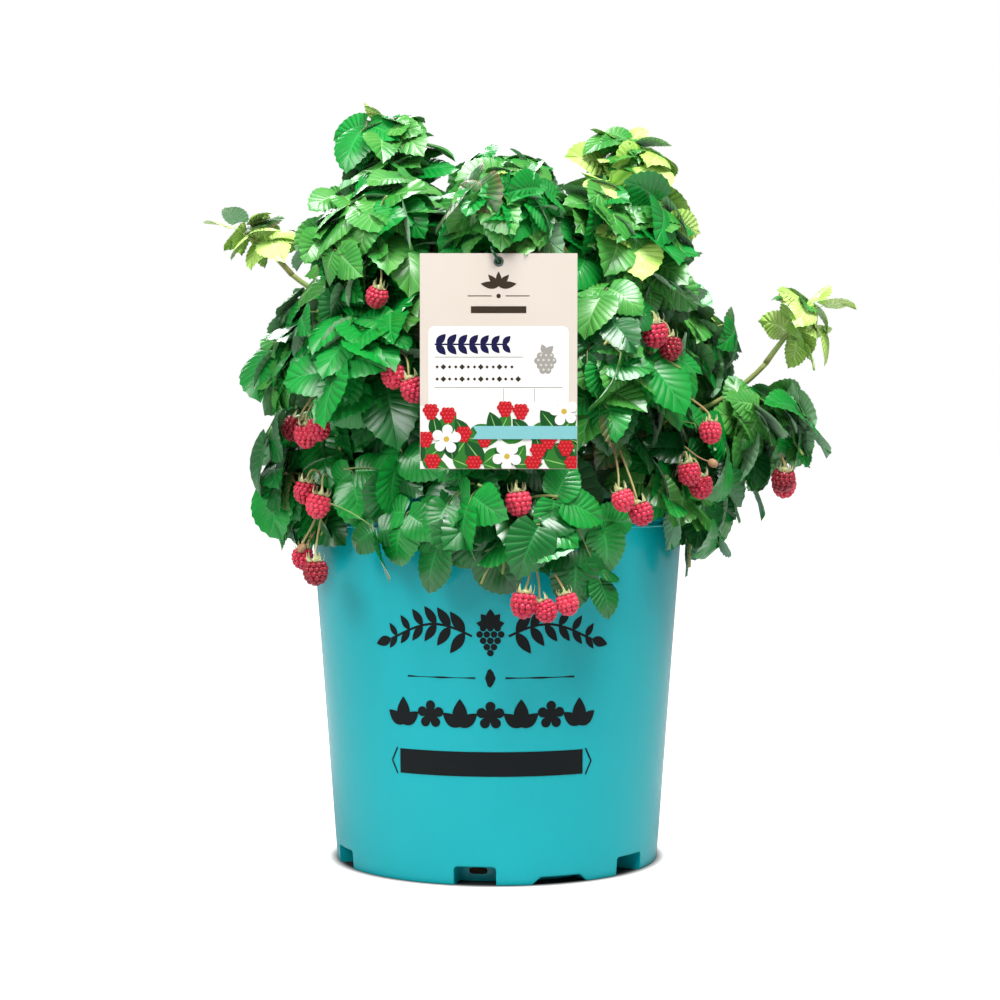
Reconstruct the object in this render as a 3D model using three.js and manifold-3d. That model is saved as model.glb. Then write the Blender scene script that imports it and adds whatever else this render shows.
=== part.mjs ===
// A fruiting raspberry bush in a moulded nursery pot, with a plain plant label on a loop tie.
// Millimetres, +Z up. The origin is the middle of the pot's flat underside, and -Y is the front.
// A bearing is an angle round the pot in degrees: 0 is the front and 90 is +X.
import * as THREE from "three";
import { mergeVertices } from "three/addons/utils/BufferGeometryUtils.js";
import Module from "manifold-3d";

// Pot: a tapered shell with a lip band, drain notches round its foot and shallow arches between them.
const POT_HEIGHT = 228;
const LIP_RADIUS = 121.2;
const LIP_HEIGHT = 8.5;
const WALL_TOP_RADIUS = 119.2;
const BASE_RADIUS = 103.2;
const EDGE = 0.8;
const WALL = 1.8;
const FLOOR = 2.4;
const POT_SIDES = 48;
const NOTCH = { count: 6, first: -7.5, arc: 14.4, widen: 0, height: 11.4, depth: 14, wall: 1.6 };
const ARCH = { count: 3, first: 22, arc: 14.4, widen: 3, height: 4.6, depth: 16, wall: 1.6 };
const DRAIN = { width: 11, low: 4.2, high: 8.2, through: 5 };

// Soil: it stops below the rim and is a little higher in the middle.
const SOIL_LEVEL = 206;
const SOIL_CROWN = 4;
const SOIL_SIDES = 24;
const CLEAR = 0.3;

// Label card with an eyelet near its top edge, and the loop tie that holds it to a bough.
const CARD = { width: 91, height: 124.5, thick: 0.6, front: -150, low: 252.5, middle: 0.9 };
const EYELET = { drop: 4.8, hole: 1.7, ring: 3, proud: 0.35, sides: 12 };
const TIE = { radius: 0.8, sides: 5, steps: 30, grip: 0.97, slack: 0.8 };

// Wood: radii at the foot and the tip. The canes stand in a ring, and boughs leave them one above another.
// A bough leaves its cane some way below its tip, by a drop that grows with its length as its slope.
const CANE = { ring: 30, foot: 4.2, tip: 1.9, flare: 1.5, flareEnds: 22, sides: 6, steps: 6 };
const BOUGH = { foot: 2, tip: 1.5, arch: 0.45, sides: 5, steps: 4 };
const LEAVE = { drop: 28, slope: 0.35, lowest: 18, apart: 12, last: 0.92, step: 0.02 };
const STEM = { foot: 2.3, tip: 1.6, bare: 0.14, past: 0.8, lift: 0.25, sides: 3, steps: 3 };

// Leaves: two or three pointed blades at the end of a stalk. Sizes are those of a full-grown leaf.
const BLADE = { length: 48, width: 38, widest: 0.42, thick: 0.9, sink: 0.02, arch: 0.1 };
const LEAF = { side: 0.84, spread: 78, rachis: 9, petiolule: 1, least: 0.88, more: 0.24, younger: 0.15 };
const STALK = { radius: 0.6, short: 14, long: 36, neck: 2, fold: 0.1, hub: 1.2 };
// How far a stalk leans from straight out, and what a blade's face and its midrib lean towards.
const LEAN = { least: 34, more: 44, lift: 0.18 };
const FACING = { out: 0.62, up: 0.5, fan: 0.35, aside: 1.5 };
const HANG = { fan: 0.75, down: 0.62, out: 0.25 };
const ROOM_PER_LEAF = 5.35;
const TRIES = 30;
const GOLDEN_TURN = 137.508;
const RETRY_TURN = 1.31;
const SEED = 4.7;

// Fruit: blunt cones, hung side by side in trusses. Each is open to view for a little way.
const BERRY = { radius: 7.6, length: 17, spread: 13, splay: 4, step: 8, hangOut: -6, hangUp: 14 };
const BERRY_RINGS = [[0.16, 0.82], [0.5, 1], [0.84, 0.66]];
const BERRY_VIEW = { radius: 10, length: 34 };
// Where fruit stalks may join the stem of a mass, as shares of its length.
const JOINTS = { count: 12, first: 0.25, step: 0.06 };

// The heart of the crown, which leaves face away from, and the room that they keep.
const HEART = { up: 282, squash: 0.55 };
const REACH = 1.18;
const CELL_ROOM = 0.4;
const LIMB_ROOM = 4.2;
const RIM_ROOM = { radius: LIP_RADIUS + 3, up: POT_HEIGHT + 3.5 };
const LABEL_ROOM = { side: 3.5, low: 4, high: 3, back: 7 };

// Masses of leaves, in rings and one by one. Each grows from its foot at a pitch, to its reach on both
// sides of its centre, in a room of its own, and the front of a ring sags. Leaf is the size of its leaves.
const RINGS = [
  { name: "skirt", count: 6, first: 4, out: 114, up: 250, sag: 18, pitch: -38, reach: 36, room: 58, leaf: 1 },
  { name: "waist", count: 5, first: -38, out: 103, up: 310, sag: 0, pitch: 34, reach: 42, room: 68, leaf: 1 },
  { name: "upper", count: 4, first: 45, out: 90, up: 372, sag: 0, pitch: 52, reach: 42, room: 66, leaf: 0.9 },
];
const SINGLES = [
  { name: "tower_left", bearing: -92, out: 66, up: 432, pitch: 80, reach: 42, room: 46, leaf: 0.8 },
  { name: "tower_right", bearing: 88, out: 77, up: 422, pitch: 76, reach: 38, room: 45, leaf: 0.8 },
  { name: "crown_front", bearing: 6, out: 40, up: 402, pitch: 70, reach: 32, room: 46, leaf: 0.85 },
  { name: "crown_back", bearing: 176, out: 62, up: 410, pitch: 70, reach: 36, room: 54, leaf: 0.9 },
  { name: "brow", bearing: 2, out: 122, up: 392, pitch: 58, reach: 26, room: 42, leaf: 0.85 },
  { name: "shoot_left", bearing: -86, out: 148, up: 388, pitch: 40, reach: 22, room: 28, leaf: 0.58 },
  { name: "shoot_right", bearing: 86, out: 188, up: 335, pitch: 48, reach: 24, room: 30, leaf: 0.6 },
  { name: "spray_right", bearing: 84, out: 162, up: 270, pitch: 4, reach: 30, room: 46, leaf: 0.85 },
];
// The mass that each cane ends in, and the bearing of the cane's foot.
const CANES = [
  { end: "tower_left", foot: -90 },
  { end: "upper_3", foot: -48 },
  { end: "crown_front", foot: -4 },
  { end: "upper_0", foot: 42 },
  { end: "tower_right", foot: 88 },
  { end: "upper_1", foot: 135 },
  { end: "crown_back", foot: 178 },
  { end: "upper_2", foot: -136 },
];
// Trusses of fruit round the front, and how many more a rule hangs round the back.
const FRONT_TRUSSES = [
  { bearing: -31, out: 138, up: 354, berries: 1 },
  { bearing: -22, out: 146, up: 309, berries: 2 },
  { bearing: -50, out: 150, up: 280, berries: 3 },
  { bearing: -48, out: 150, up: 240, berries: 2 },
  { bearing: -49, out: 150, up: 200, berries: 2 },
  { bearing: 5, out: 144, up: 233, berries: 1 },
  { bearing: 11, out: 148, up: 178, berries: 3 },
  { bearing: 41, out: 150, up: 334, berries: 2 },
  { bearing: 56, out: 156, up: 274, berries: 1 },
  { bearing: 53, out: 150, up: 251, berries: 2 },
  { bearing: 32, out: 150, up: 236, berries: 2 },
  { bearing: 80, out: 184, up: 248, berries: 3 },
];
const BACK_TRUSSES = { first: 118, step: 36, count: 4, out: 140, deeper: 6, low: 215, high: 330, most: 3 };

const wasm = await Module();
wasm.setup();

// ---------------------------------------------------------------- points, numbers and solids

const radians = THREE.MathUtils.degToRad;
const vector = (x = 0, y = 0, z = 0) => new THREE.Vector3(x, y, z);
const UP = vector(0, 0, 1);
const DOWN = vector(0, 0, -1);
const FRONT = vector(0, -1, 0);

// A number from 0 to 1 that is always the same for the same keys.
function chance(a, b, c) {
  const s = Math.sin(SEED + a * 12.9898 + b * 78.233 + c * 37.719) * 43758.5453;
  return s - Math.floor(s);
}

// A point at a bearing round the pot, a distance out from its axis and a height.
function around(bearing, out, up) {
  const angle = radians(bearing);
  return vector(out * Math.sin(angle), -out * Math.cos(angle), up);
}

// The sum of vectors, each times its weight: sum([a, 2], [b, -1]).
function sum(...terms) {
  return terms.reduce((total, [part, weight]) => total.addScaledVector(part, weight), vector());
}

function middleOf(a, b) {
  return a.clone().lerp(b, 0.5);
}

// A closed geometry as a manifold-3d solid.
function solid(geometry) {
  const bare = geometry.clone();
  bare.deleteAttribute("normal");
  bare.deleteAttribute("uv");
  const merged = mergeVertices(bare);
  const vertProperties = merged.attributes.position.array;
  const triVerts = new Uint32Array(merged.index.array);
  return new wasm.Manifold(new wasm.Mesh({ numProp: 3, vertProperties, triVerts }));
}

// A solid from corners and the faces between them, turned to face out.
function polyhedron(corners, faces) {
  const vertProperties = new Float32Array(corners.flatMap((p) => p.toArray()));
  const made = (list) =>
    new wasm.Manifold(new wasm.Mesh({ numProp: 3, vertProperties, triVerts: new Uint32Array(list.flat()) }));
  const first = made(faces);
  return first.volume() > 0 ? first : made(faces.map(([a, b, c]) => [a, c, b]));
}

// The faces between two rings of as many corners.
function sleeve(from, to) {
  return from.flatMap((corner, i) => {
    const j = (i + 1) % from.length;
    return [[corner, from[j], to[j]], [corner, to[j], to[i]]];
  });
}

// A manifold-3d solid as a named mesh.
function mesh(name, manifold, material) {
  const made = manifold.getMesh();
  const points = new Float32Array(made.numVert * 3);
  for (let i = 0; i < made.numVert; i++) {
    points.set(made.vertProperties.subarray(i * made.numProp, i * made.numProp + 3), i * 3);
  }
  const geometry = new THREE.BufferGeometry();
  geometry.setAttribute("position", new THREE.BufferAttribute(points, 3));
  geometry.setIndex(new THREE.BufferAttribute(made.triVerts, 1));
  geometry.computeVertexNormals();
  const named = new THREE.Mesh(geometry, material);
  named.name = name;
  return named;
}

// The largest of the bodies that a join or a cut may leave.
function largest(manifold) {
  return manifold.decompose().sort((a, b) => b.volume() - a.volume())[0];
}

// A round limb along a curve, of a radius that changes on its way: a capped cylinder bent to the curve.
function limb(curve, radiusAt, { sides, steps }) {
  const shape = new THREE.CylinderGeometry(1, 1, 1, sides, steps);
  const position = shape.getAttribute("position");
  const frames = curve.computeFrenetFrames(steps, false);
  for (let i = 0; i < position.count; i++) {
    const step = Math.round((position.getY(i) + 0.5) * steps);
    const radius = radiusAt(step / steps);
    const point = curve
      .getPointAt(step / steps)
      .addScaledVector(frames.normals[step], position.getX(i) * radius)
      .addScaledVector(frames.binormals[step], -position.getZ(i) * radius);
    position.setXYZ(i, point.x, point.y, point.z);
  }
  return solid(shape);
}

function taper({ foot, tip }) {
  return (t) => foot + (tip - foot) * t;
}

// ---------------------------------------------------------------- pot, soil and label

function lathe(profile, sides) {
  const points = profile.map(([r, z]) => new THREE.Vector2(r, z));
  return solid(new THREE.LatheGeometry(points, sides).rotateX(Math.PI / 2));
}

function wallRadius(z) {
  return BASE_RADIUS + ((WALL_TOP_RADIUS - BASE_RADIUS) * z) / (POT_HEIGHT - LIP_HEIGHT);
}

// A block of a ring between two radii and two heights, with its foot wider than its top by widen a side.
function ringBlock(inner, outer, low, high, bearing, arc, widen = 0) {
  const corners = [[low, widen], [high, 0]].flatMap(([level, more]) =>
    [-1, 0, 1].flatMap((side) =>
      [inner, outer].map((radius) => around(bearing + side * (arc / 2 + more), radius, level).toArray()),
    ),
  );
  return wasm.Manifold.hull(corners);
}

// The radius at the back of a recess in the pot's foot.
function recessBack({ depth }) {
  return BASE_RADIUS - WALL - depth;
}

function potSolid() {
  const step = POT_HEIGHT - LIP_HEIGHT;
  const profile = [
    [0, 0],
    [wallRadius(0) - 2 * EDGE, 0],
    [wallRadius(2 * EDGE), 2 * EDGE],
    [WALL_TOP_RADIUS, step],
    [LIP_RADIUS, step + EDGE],
    [LIP_RADIUS, POT_HEIGHT - EDGE],
    [LIP_RADIUS - EDGE, POT_HEIGHT],
    [WALL_TOP_RADIUS - WALL, POT_HEIGHT],
    [wallRadius(FLOOR) - WALL, FLOOR],
    [0, FLOOR],
  ];
  const boxes = [];
  const cuts = [];
  for (const { count, first, arc, widen, height, depth, wall } of [NOTCH, ARCH]) {
    const back = recessBack({ depth });
    const skin = THREE.MathUtils.radToDeg(wall / back) * 2;
    for (let i = 0; i < count; i++) {
      const bearing = first + (360 / count) * i;
      boxes.push(ringBlock(back - wall, BASE_RADIUS - EDGE, 0, height + wall, bearing, arc + skin, widen));
      cuts.push(ringBlock(back, LIP_RADIUS, -1, height, bearing, arc, widen));
    }
  }
  for (let i = 0; i < NOTCH.count; i++) {
    const back = recessBack(NOTCH);
    const bearing = NOTCH.first + (360 / NOTCH.count) * i;
    const arc = THREE.MathUtils.radToDeg(DRAIN.width / back);
    cuts.push(ringBlock(back - DRAIN.through, back + 1, DRAIN.low, DRAIN.high, bearing, arc));
  }
  return lathe(profile, POT_SIDES).add(wasm.Manifold.union(boxes)).subtract(wasm.Manifold.union(cuts));
}

// The soil steps in under the tops of the notches, so that it is clear of their boxes.
function soilSolid() {
  const shelf = NOTCH.height + NOTCH.wall + CLEAR;
  const foot = recessBack(ARCH) - 2 * ARCH.wall;
  const side = (z) => wallRadius(z) - WALL - 2 * CLEAR;
  const profile = [
    [0, FLOOR + CLEAR],
    [foot, FLOOR + CLEAR],
    [foot, shelf],
    [side(shelf), shelf],
    [side(SOIL_LEVEL), SOIL_LEVEL],
    [side(SOIL_LEVEL) / 2, SOIL_LEVEL + SOIL_CROWN],
    [0, SOIL_LEVEL + SOIL_CROWN],
  ];
  return lathe(profile, SOIL_SIDES);
}

const CARD_TOP = CARD.low + CARD.height;
const EYELET_CENTRE = vector(CARD.middle, CARD.front, CARD_TOP - EYELET.drop);

function cardSolid() {
  const sheet = new THREE.BoxGeometry(CARD.width, CARD.thick, CARD.height);
  sheet.translate(CARD.middle, CARD.front, CARD.low + CARD.height / 2);
  const disc = (radius, thick) =>
    solid(new THREE.CylinderGeometry(radius, radius, thick, EYELET.sides).translate(...EYELET_CENTRE));
  const proud = CARD.thick + 2 * EYELET.proud;
  return solid(sheet).add(disc(EYELET.ring, proud)).subtract(disc(EYELET.hole, 2 * proud));
}

// The loop goes through the eyelet, up the card's face, over its top edge and round a bough.
function planTie(bough) {
  const grip = bough.curve.getPoint(TIE.grip);
  const reach = bough.radiusAt(TIE.grip) + TIE.radius + TIE.slack;
  const points = [
    EYELET_CENTRE,
    vector(EYELET_CENTRE.x - 1.2, CARD.front - 2.4, EYELET_CENTRE.z + 2),
    vector(EYELET_CENTRE.x - 3.6, CARD.front - 1.8, CARD_TOP + 1.4),
    vector(EYELET_CENTRE.x - 3.6, CARD.front + 2.5, CARD_TOP + 2.6),
    vector(grip.x - reach, grip.y - 4, grip.z + reach * 0.4),
    vector(grip.x - reach * 0.6, grip.y + 1, grip.z + reach),
    vector(grip.x + reach * 0.6, grip.y + 1, grip.z + reach),
    vector(grip.x + reach, grip.y - 1, grip.z),
    vector(grip.x + reach * 0.5, grip.y - 4, grip.z - reach),
    vector(EYELET_CENTRE.x + 0.4, CARD.front + 3.4, EYELET_CENTRE.z - 0.6),
  ];
  const curve = new THREE.CatmullRomCurve3(points, true, "catmullrom", 0.5);
  return { curve, radiusAt: () => TIE.radius };
}

// A closed tube round a closed curve.
function loopSolid(curve) {
  const frames = curve.computeFrenetFrames(TIE.steps, true);
  const corners = [];
  const rings = Array.from({ length: TIE.steps }, (_, i) =>
    Array.from({ length: TIE.sides }, (_, j) => {
      const turn = (2 * Math.PI * j) / TIE.sides;
      const [x, y] = [TIE.radius * Math.cos(turn), TIE.radius * Math.sin(turn)];
      const middle = curve.getPointAt(i / TIE.steps);
      return corners.push(sum([middle, 1], [frames.normals[i], x], [frames.binormals[i], y])) - 1;
    }),
  );
  return polyhedron(corners, rings.flatMap((ring, i) => sleeve(ring, rings[(i + 1) % TIE.steps])));
}

// ---------------------------------------------------------------- where everything on the plant is

// Where each mass is, and the stem that its leaves stand on.
function planMasses() {
  const rows = RINGS.flatMap((ring) =>
    Array.from({ length: ring.count }, (_, i) => {
      const bearing = ring.first + (360 / ring.count) * i;
      const up = ring.up - ring.sag * Math.max(0, Math.cos(radians(bearing)));
      return { ...ring, name: `${ring.name}_${i}`, bearing, up };
    }),
  );
  return [...rows, ...SINGLES].map((row, number) => {
    const centre = around(row.bearing, row.out, row.up);
    const pitch = radians(row.pitch);
    const grow = sum([around(row.bearing, 1, 0), Math.cos(pitch)], [UP, Math.sin(pitch)]);
    const foot = sum([centre, 1], [grow, -row.reach]);
    const tip = sum([centre, 1], [grow, row.reach * STEM.past]);
    const bend = sum([centre, 1], [UP, row.reach * STEM.lift]);
    const stem = new THREE.QuadraticBezierCurve3(foot, bend, tip);
    return { ...row, number, centre, grow, foot, stem, leafCount: Math.round(row.room / ROOM_PER_LEAF) };
  });
}

// A cane from the soil to the foot of its mass, with a flare at the root.
function planCane(mass, footBearing, number) {
  const start = around(footBearing, CANE.ring, SOIL_LEVEL + SOIL_CROWN + CLEAR);
  const end = sum([mass.foot, 1], [mass.grow, -CLEAR]);
  const half = (end.z - start.z) / 2;
  const bend = sum([end, 1], [mass.grow, -half]);
  const curve = new THREE.CubicBezierCurve3(start, sum([start, 1], [UP, half]), bend, end);
  const radiusAt = (t) => taper(CANE)(t) + CANE.flare * Math.exp(-t * CANE.flareEnds);
  return { name: `cane_${number + 1}`, bearing: mass.bearing, curve, radiusAt, end, boughs: 0 };
}

// A bough to the foot of a mass, from the cane nearest in bearing of those that rise high enough.
function planBough(mass, canes) {
  const turn = (cane) => Math.abs(((mass.bearing - cane.bearing + 540) % 360) - 180);
  const high = canes.filter((cane) => cane.end.z > mass.foot.z - CANE.ring / 3);
  const cane = high.sort((a, b) => turn(a) - turn(b))[0];
  const drop = Math.max(LEAVE.drop, mass.foot.distanceTo(cane.end) * LEAVE.slope);
  const lowest = SOIL_LEVEL + LEAVE.lowest + LEAVE.apart * cane.boughs;
  const height = Math.max(lowest, mass.foot.z - drop);
  cane.boughs += 1;
  let at = 0;
  while (at < LEAVE.last && cane.curve.getPoint(at).z < height) at += LEAVE.step;
  const start = cane.curve.getPoint(at);
  const end = sum([mass.foot, 1], [mass.grow, -CLEAR]);
  const bend = sum([end, 1], [mass.grow, -start.distanceTo(end) * BOUGH.arch]);
  const curve = new THREE.QuadraticBezierCurve3(start, bend, end);
  return { name: `bough_${mass.name}`, curve, radiusAt: taper(BOUGH), cane };
}

// Evenly spaced points on a limb with its radius there, to keep leaves off it.
function limbPoints({ curve, radiusAt }) {
  const steps = Math.ceil(curve.getLength() / LIMB_ROOM);
  return Array.from({ length: steps + 1 }, (_, i) => {
    const at = i / steps;
    return { point: curve.getPoint(at), radius: radiusAt(at) };
  });
}

// The way out of the crown at a point.
function outward(point) {
  return vector(point.x, point.y, (point.z - HEART.up) * HEART.squash).normalize();
}

// True where a point lies in its mass's own space and clear of the pot, the label and every limb.
function isClear(point, mass, plant) {
  const from = point.clone().sub(mass.centre);
  if (from.length() > mass.room * REACH) return false;
  for (const other of plant.masses) {
    const between = other.centre.clone().sub(mass.centre);
    const wall = (between.length() * mass.room) / (mass.room + other.room) - CELL_ROOM;
    if (other !== mass && from.dot(between.normalize()) > wall) return false;
  }
  if (point.z < RIM_ROOM.up && Math.hypot(point.x, point.y) < RIM_ROOM.radius) return false;
  const beside = Math.abs(point.x - CARD.middle) > CARD.width / 2 + LABEL_ROOM.side;
  const above = point.z > CARD_TOP + LABEL_ROOM.high || point.z < CARD.low - LABEL_ROOM.low;
  if (!beside && !above && point.y < CARD.front + LABEL_ROOM.back) return false;
  return plant.limbs.every((spot) => spot.point.distanceTo(point) > spot.radius + LIMB_ROOM);
}

// True where a leaf at the point would hang in front of a berry.
function hidesBerry(point, plant) {
  return plant.berries.some(({ centre, view }) => {
    const away = point.clone().sub(centre);
    const along = away.dot(view);
    const aside = Math.sqrt(Math.max(0, away.lengthSq() - along * along));
    return aside < BERRY_VIEW.radius && along > -BERRY_VIEW.radius && along < BERRY_VIEW.length;
  });
}

// A blade as its corners: base, tip, two sides and the keel under it, arched towards its tip.
function planBlade(base, along, face, size) {
  const across = vector().crossVectors(along, face);
  const length = BLADE.length * size;
  const half = (BLADE.width * size) / 2;
  const middle = sum([base, 1], [along, length * BLADE.widest], [face, -length * BLADE.sink]);
  return {
    base,
    left: sum([middle, 1], [across, -half]),
    right: sum([middle, 1], [across, half]),
    keel: sum([middle, 1], [face, -BLADE.thick]),
    tip: sum([base, 1], [along, length], [face, -length * BLADE.arch]),
  };
}

// Points spread over a blade, to test its room with.
function bladePoints({ base, left, right, keel, tip }) {
  const rim = [[base, left], [base, right], [left, tip], [right, tip]];
  const ribs = [base, left, right, tip].map((corner) => [keel, corner]);
  return [left, right, keel, tip, ...[...rim, ...ribs].map(([a, b]) => middleOf(a, b))];
}

// The rim of each blade of a leaf as edges, with its stalk.
function leafEdges({ joint, fork, blades }) {
  const rim = ({ base, left, right, tip }) => [[base, left], [left, tip], [tip, right], [right, base]];
  const rims = blades.flatMap(rim);
  return [[joint, fork], ...rims];
}

function leafTriangles({ blades }) {
  return blades.flatMap(({ base, left, right, tip }) => [[base, left, tip], [base, tip, right]]);
}

// True where an edge goes through a triangle.
function pierces([from, to], [a, b, c]) {
  const way = to.clone().sub(from);
  const ray = new THREE.Ray(from, way.clone().normalize());
  const hit = ray.intersectTriangle(a, b, c, false, vector());
  return hit !== null && hit.distanceTo(from) < way.length();
}

// True where two leaves go through each other.
function cross(one, other) {
  const meets = (a, b) => {
    const triangles = leafTriangles(b);
    return leafEdges(a).some((edge) => triangles.some((triangle) => pierces(edge, triangle)));
  };
  return meets(one, other) || meets(other, one);
}

// One leaf: a stalk from the stem, a fork, and the two or three blades that find room, or null.
function planLeaf(mass, index, attempt, plant, earlier) {
  const draw = (n) => chance(mass.number + 1, index + 1, attempt * 7 + n);
  const at = STEM.bare + ((1 - STEM.bare) * (index + 0.5)) / mass.leafCount;
  const joint = mass.stem.getPoint(at);
  const out = outward(joint);
  const aside = vector().crossVectors(UP, out).normalize();
  const above = vector().crossVectors(out, aside);
  const spin = radians(GOLDEN_TURN * (index + attempt * RETRY_TURN) + 360 * chance(mass.number, 3, 5));
  const fan = sum([aside, Math.cos(spin)], [above, Math.sin(spin)]);
  const lean = radians(LEAN.least + LEAN.more * draw(1));
  const stalk = sum([out, Math.cos(lean)], [fan, Math.sin(lean)], [UP, LEAN.lift]).normalize();
  const size = mass.leaf * (1 - LEAF.younger * at) * (LEAF.least + LEAF.more * draw(2));
  const fork = sum([joint, 1], [stalk, size * (STALK.short + (STALK.long - STALK.short) * draw(3))]);
  const [droop, sway] = [FACING.fan * draw(4), FACING.aside * (draw(5) - 0.5)];
  const face = sum([out, FACING.out], [UP, FACING.up], [fan, droop], [aside, sway]).normalize();
  const along = sum([fan, HANG.fan], [DOWN, HANG.down], [out, HANG.out]).projectOnPlane(face).normalize();
  if (along.dot(stalk) < STALK.fold) return null;
  if (!isClear(middleOf(joint, fork), mass, plant) || !isClear(fork, mass, plant)) return null;
  const across = vector().crossVectors(along, face);
  const blades = [-1, 0, 1].map((side) => {
    const turn = radians(LEAF.spread) * side;
    const way = sum([along, Math.cos(turn)], [across, Math.sin(turn)]);
    const base = sum([fork, 1], [way, side ? LEAF.petiolule : LEAF.rachis * size]);
    return { turn, ...planBlade(base, way, face, size * (side ? LEAF.side : 1)) };
  });
  const fits = (blade) =>
    bladePoints(blade).every((p) => isClear(p, mass, plant) && !hidesBerry(p, plant)) &&
    !earlier.some((leaf) => cross({ joint, fork, blades: [blade] }, leaf));
  const kept = blades.filter(fits);
  const wanted = attempt < TRIES / 2 ? 3 : 2;
  return kept.length < wanted ? null : { joint, fork, along, across, face, blades: kept };
}

function planLeaves(mass, plant) {
  const leaves = [];
  for (let index = 0; index < mass.leafCount; index++) {
    let leaf = null;
    for (let attempt = 0; attempt < TRIES && !leaf; attempt++) {
      leaf = planLeaf(mass, index, attempt, plant, leaves);
    }
    if (leaf) leaves.push(leaf);
  }
  return leaves;
}

// The berries of every truss, with the mass whose space each truss hangs in.
function planBerries(masses) {
  const back = Array.from({ length: BACK_TRUSSES.count }, (_, i) => ({
    bearing: BACK_TRUSSES.first + BACK_TRUSSES.step * i,
    out: BACK_TRUSSES.out + BACK_TRUSSES.deeper * chance(i + 1, 5, 3),
    up: BACK_TRUSSES.low + (BACK_TRUSSES.high - BACK_TRUSSES.low) * chance(i + 1, 7, 2),
    berries: 1 + Math.floor(BACK_TRUSSES.most * chance(i + 1, 4, 9)),
  }));
  return [...FRONT_TRUSSES, ...back].flatMap((row, number) => {
    const hang = around(row.bearing, row.out + BERRY.hangOut, row.up + BERRY.hangUp);
    const share = (mass) => hang.distanceTo(mass.centre) / mass.room;
    const mass = [...masses].sort((a, b) => share(a) - share(b))[0];
    const shares = Array.from({ length: JOINTS.count }, (_, i) => JOINTS.first + JOINTS.step * i);
    const spots = shares.map((share) => mass.stem.getPoint(share));
    const nearest = spots.sort((a, b) => a.distanceTo(hang) - b.distanceTo(hang));
    const aside = around(row.bearing + 90, 1, 0);
    return Array.from({ length: row.berries }, (_, i) => {
      const place = i - (row.berries - 1) / 2;
      const drop = Math.abs(place) * BERRY.splay + (i % 2) * BERRY.step;
      const centre = sum([around(row.bearing, row.out, row.up - drop), 1], [aside, place * BERRY.spread]);
      const view = sum([outward(centre), 1], [FRONT, number < FRONT_TRUSSES.length ? 1 : 0]).normalize();
      const bend = sum([hang, 1], [aside, place * BERRY.splay]);
      return { mass, centre, view, joint: nearest[i * 2], hang: bend };
    });
  });
}

// The two straight stretches of a berry's stalk, to keep leaves off it.
function berryStalks({ joint, hang, centre }) {
  const stretch = (from, to) => ({ curve: new THREE.LineCurve3(from, to), radiusAt: () => STALK.radius });
  return [stretch(joint.clone().lerp(hang, 0.3), hang), stretch(hang, centre)];
}

function planPlant() {
  const masses = planMasses();
  const named = (end) => masses.find(({ name }) => name === end);
  const canes = CANES.map(({ end, foot }, i) => planCane(named(end), foot, i));
  const onBoughs = masses.filter(({ name }) => !CANES.some(({ end }) => end === name));
  const boughs = onBoughs.map((mass) => planBough(mass, canes));
  const berries = planBerries(masses);
  const tie = planTie(boughs.find(({ name }) => name === "bough_brow"));
  const limbs = [...canes, ...boughs, ...berries.flatMap(berryStalks), tie].flatMap(limbPoints);
  const plant = { masses, canes, boughs, berries, tie, limbs };
  for (const mass of masses) mass.leaves = planLeaves(mass, plant);
  return plant;
}

// ---------------------------------------------------------------- solids of the plant

// A leaf as one solid: arms of three corners round a small hub, one for each blade and one for the stalk.
function leafSolid({ joint, fork, along, across, face, blades }) {
  const turns = [...blades.map(({ turn }) => turn), Math.PI];
  const arms = turns.length;
  const corners = turns.map((turn, i) => {
    const between = (turn + (turns[i + 1] ?? turns[0] + 2 * Math.PI)) / 2;
    return sum([fork, 1], [along, STALK.hub * Math.cos(between)], [across, STALK.hub * Math.sin(between)]);
  });
  const under = corners.push(sum([fork, 1], [face, -STALK.hub])) - 1;
  const root = (i) => [(i + arms - 1) % arms, i, under];
  const ring = (points) => points.map((point) => corners.push(point) - 1);
  const faces = Array.from({ length: arms - 2 }, (_, i) => [0, i + 2, i + 1]);
  blades.forEach((blade, i) => {
    const rim = ring([blade.left, blade.right, blade.keel]);
    const [tip] = ring([blade.tip]);
    faces.push(...sleeve(root(i), rim), ...rim.map((corner, j) => [corner, rim[(j + 1) % 3], tip]));
  });
  const back = along.clone().negate();
  const way = joint.clone().sub(fork).normalize();
  const half = back.clone().add(way).normalize();
  const section = (end, direction) => {
    const bend = new THREE.Quaternion().setFromUnitVectors(back, direction);
    return ring(
      [[1, 0.5], [-1, 0.5], [0, -1]].map(([x, y]) =>
        sum([across, x * STALK.radius], [face, y * STALK.radius]).applyQuaternion(bend).add(end),
      ),
    );
  };
  const first = section(sum([fork, 1], [half, STALK.neck]), half);
  const last = section(joint, way);
  faces.push(...sleeve(root(arms - 1), first), ...sleeve(first, last), last);
  return polyhedron(corners, faces);
}

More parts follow.
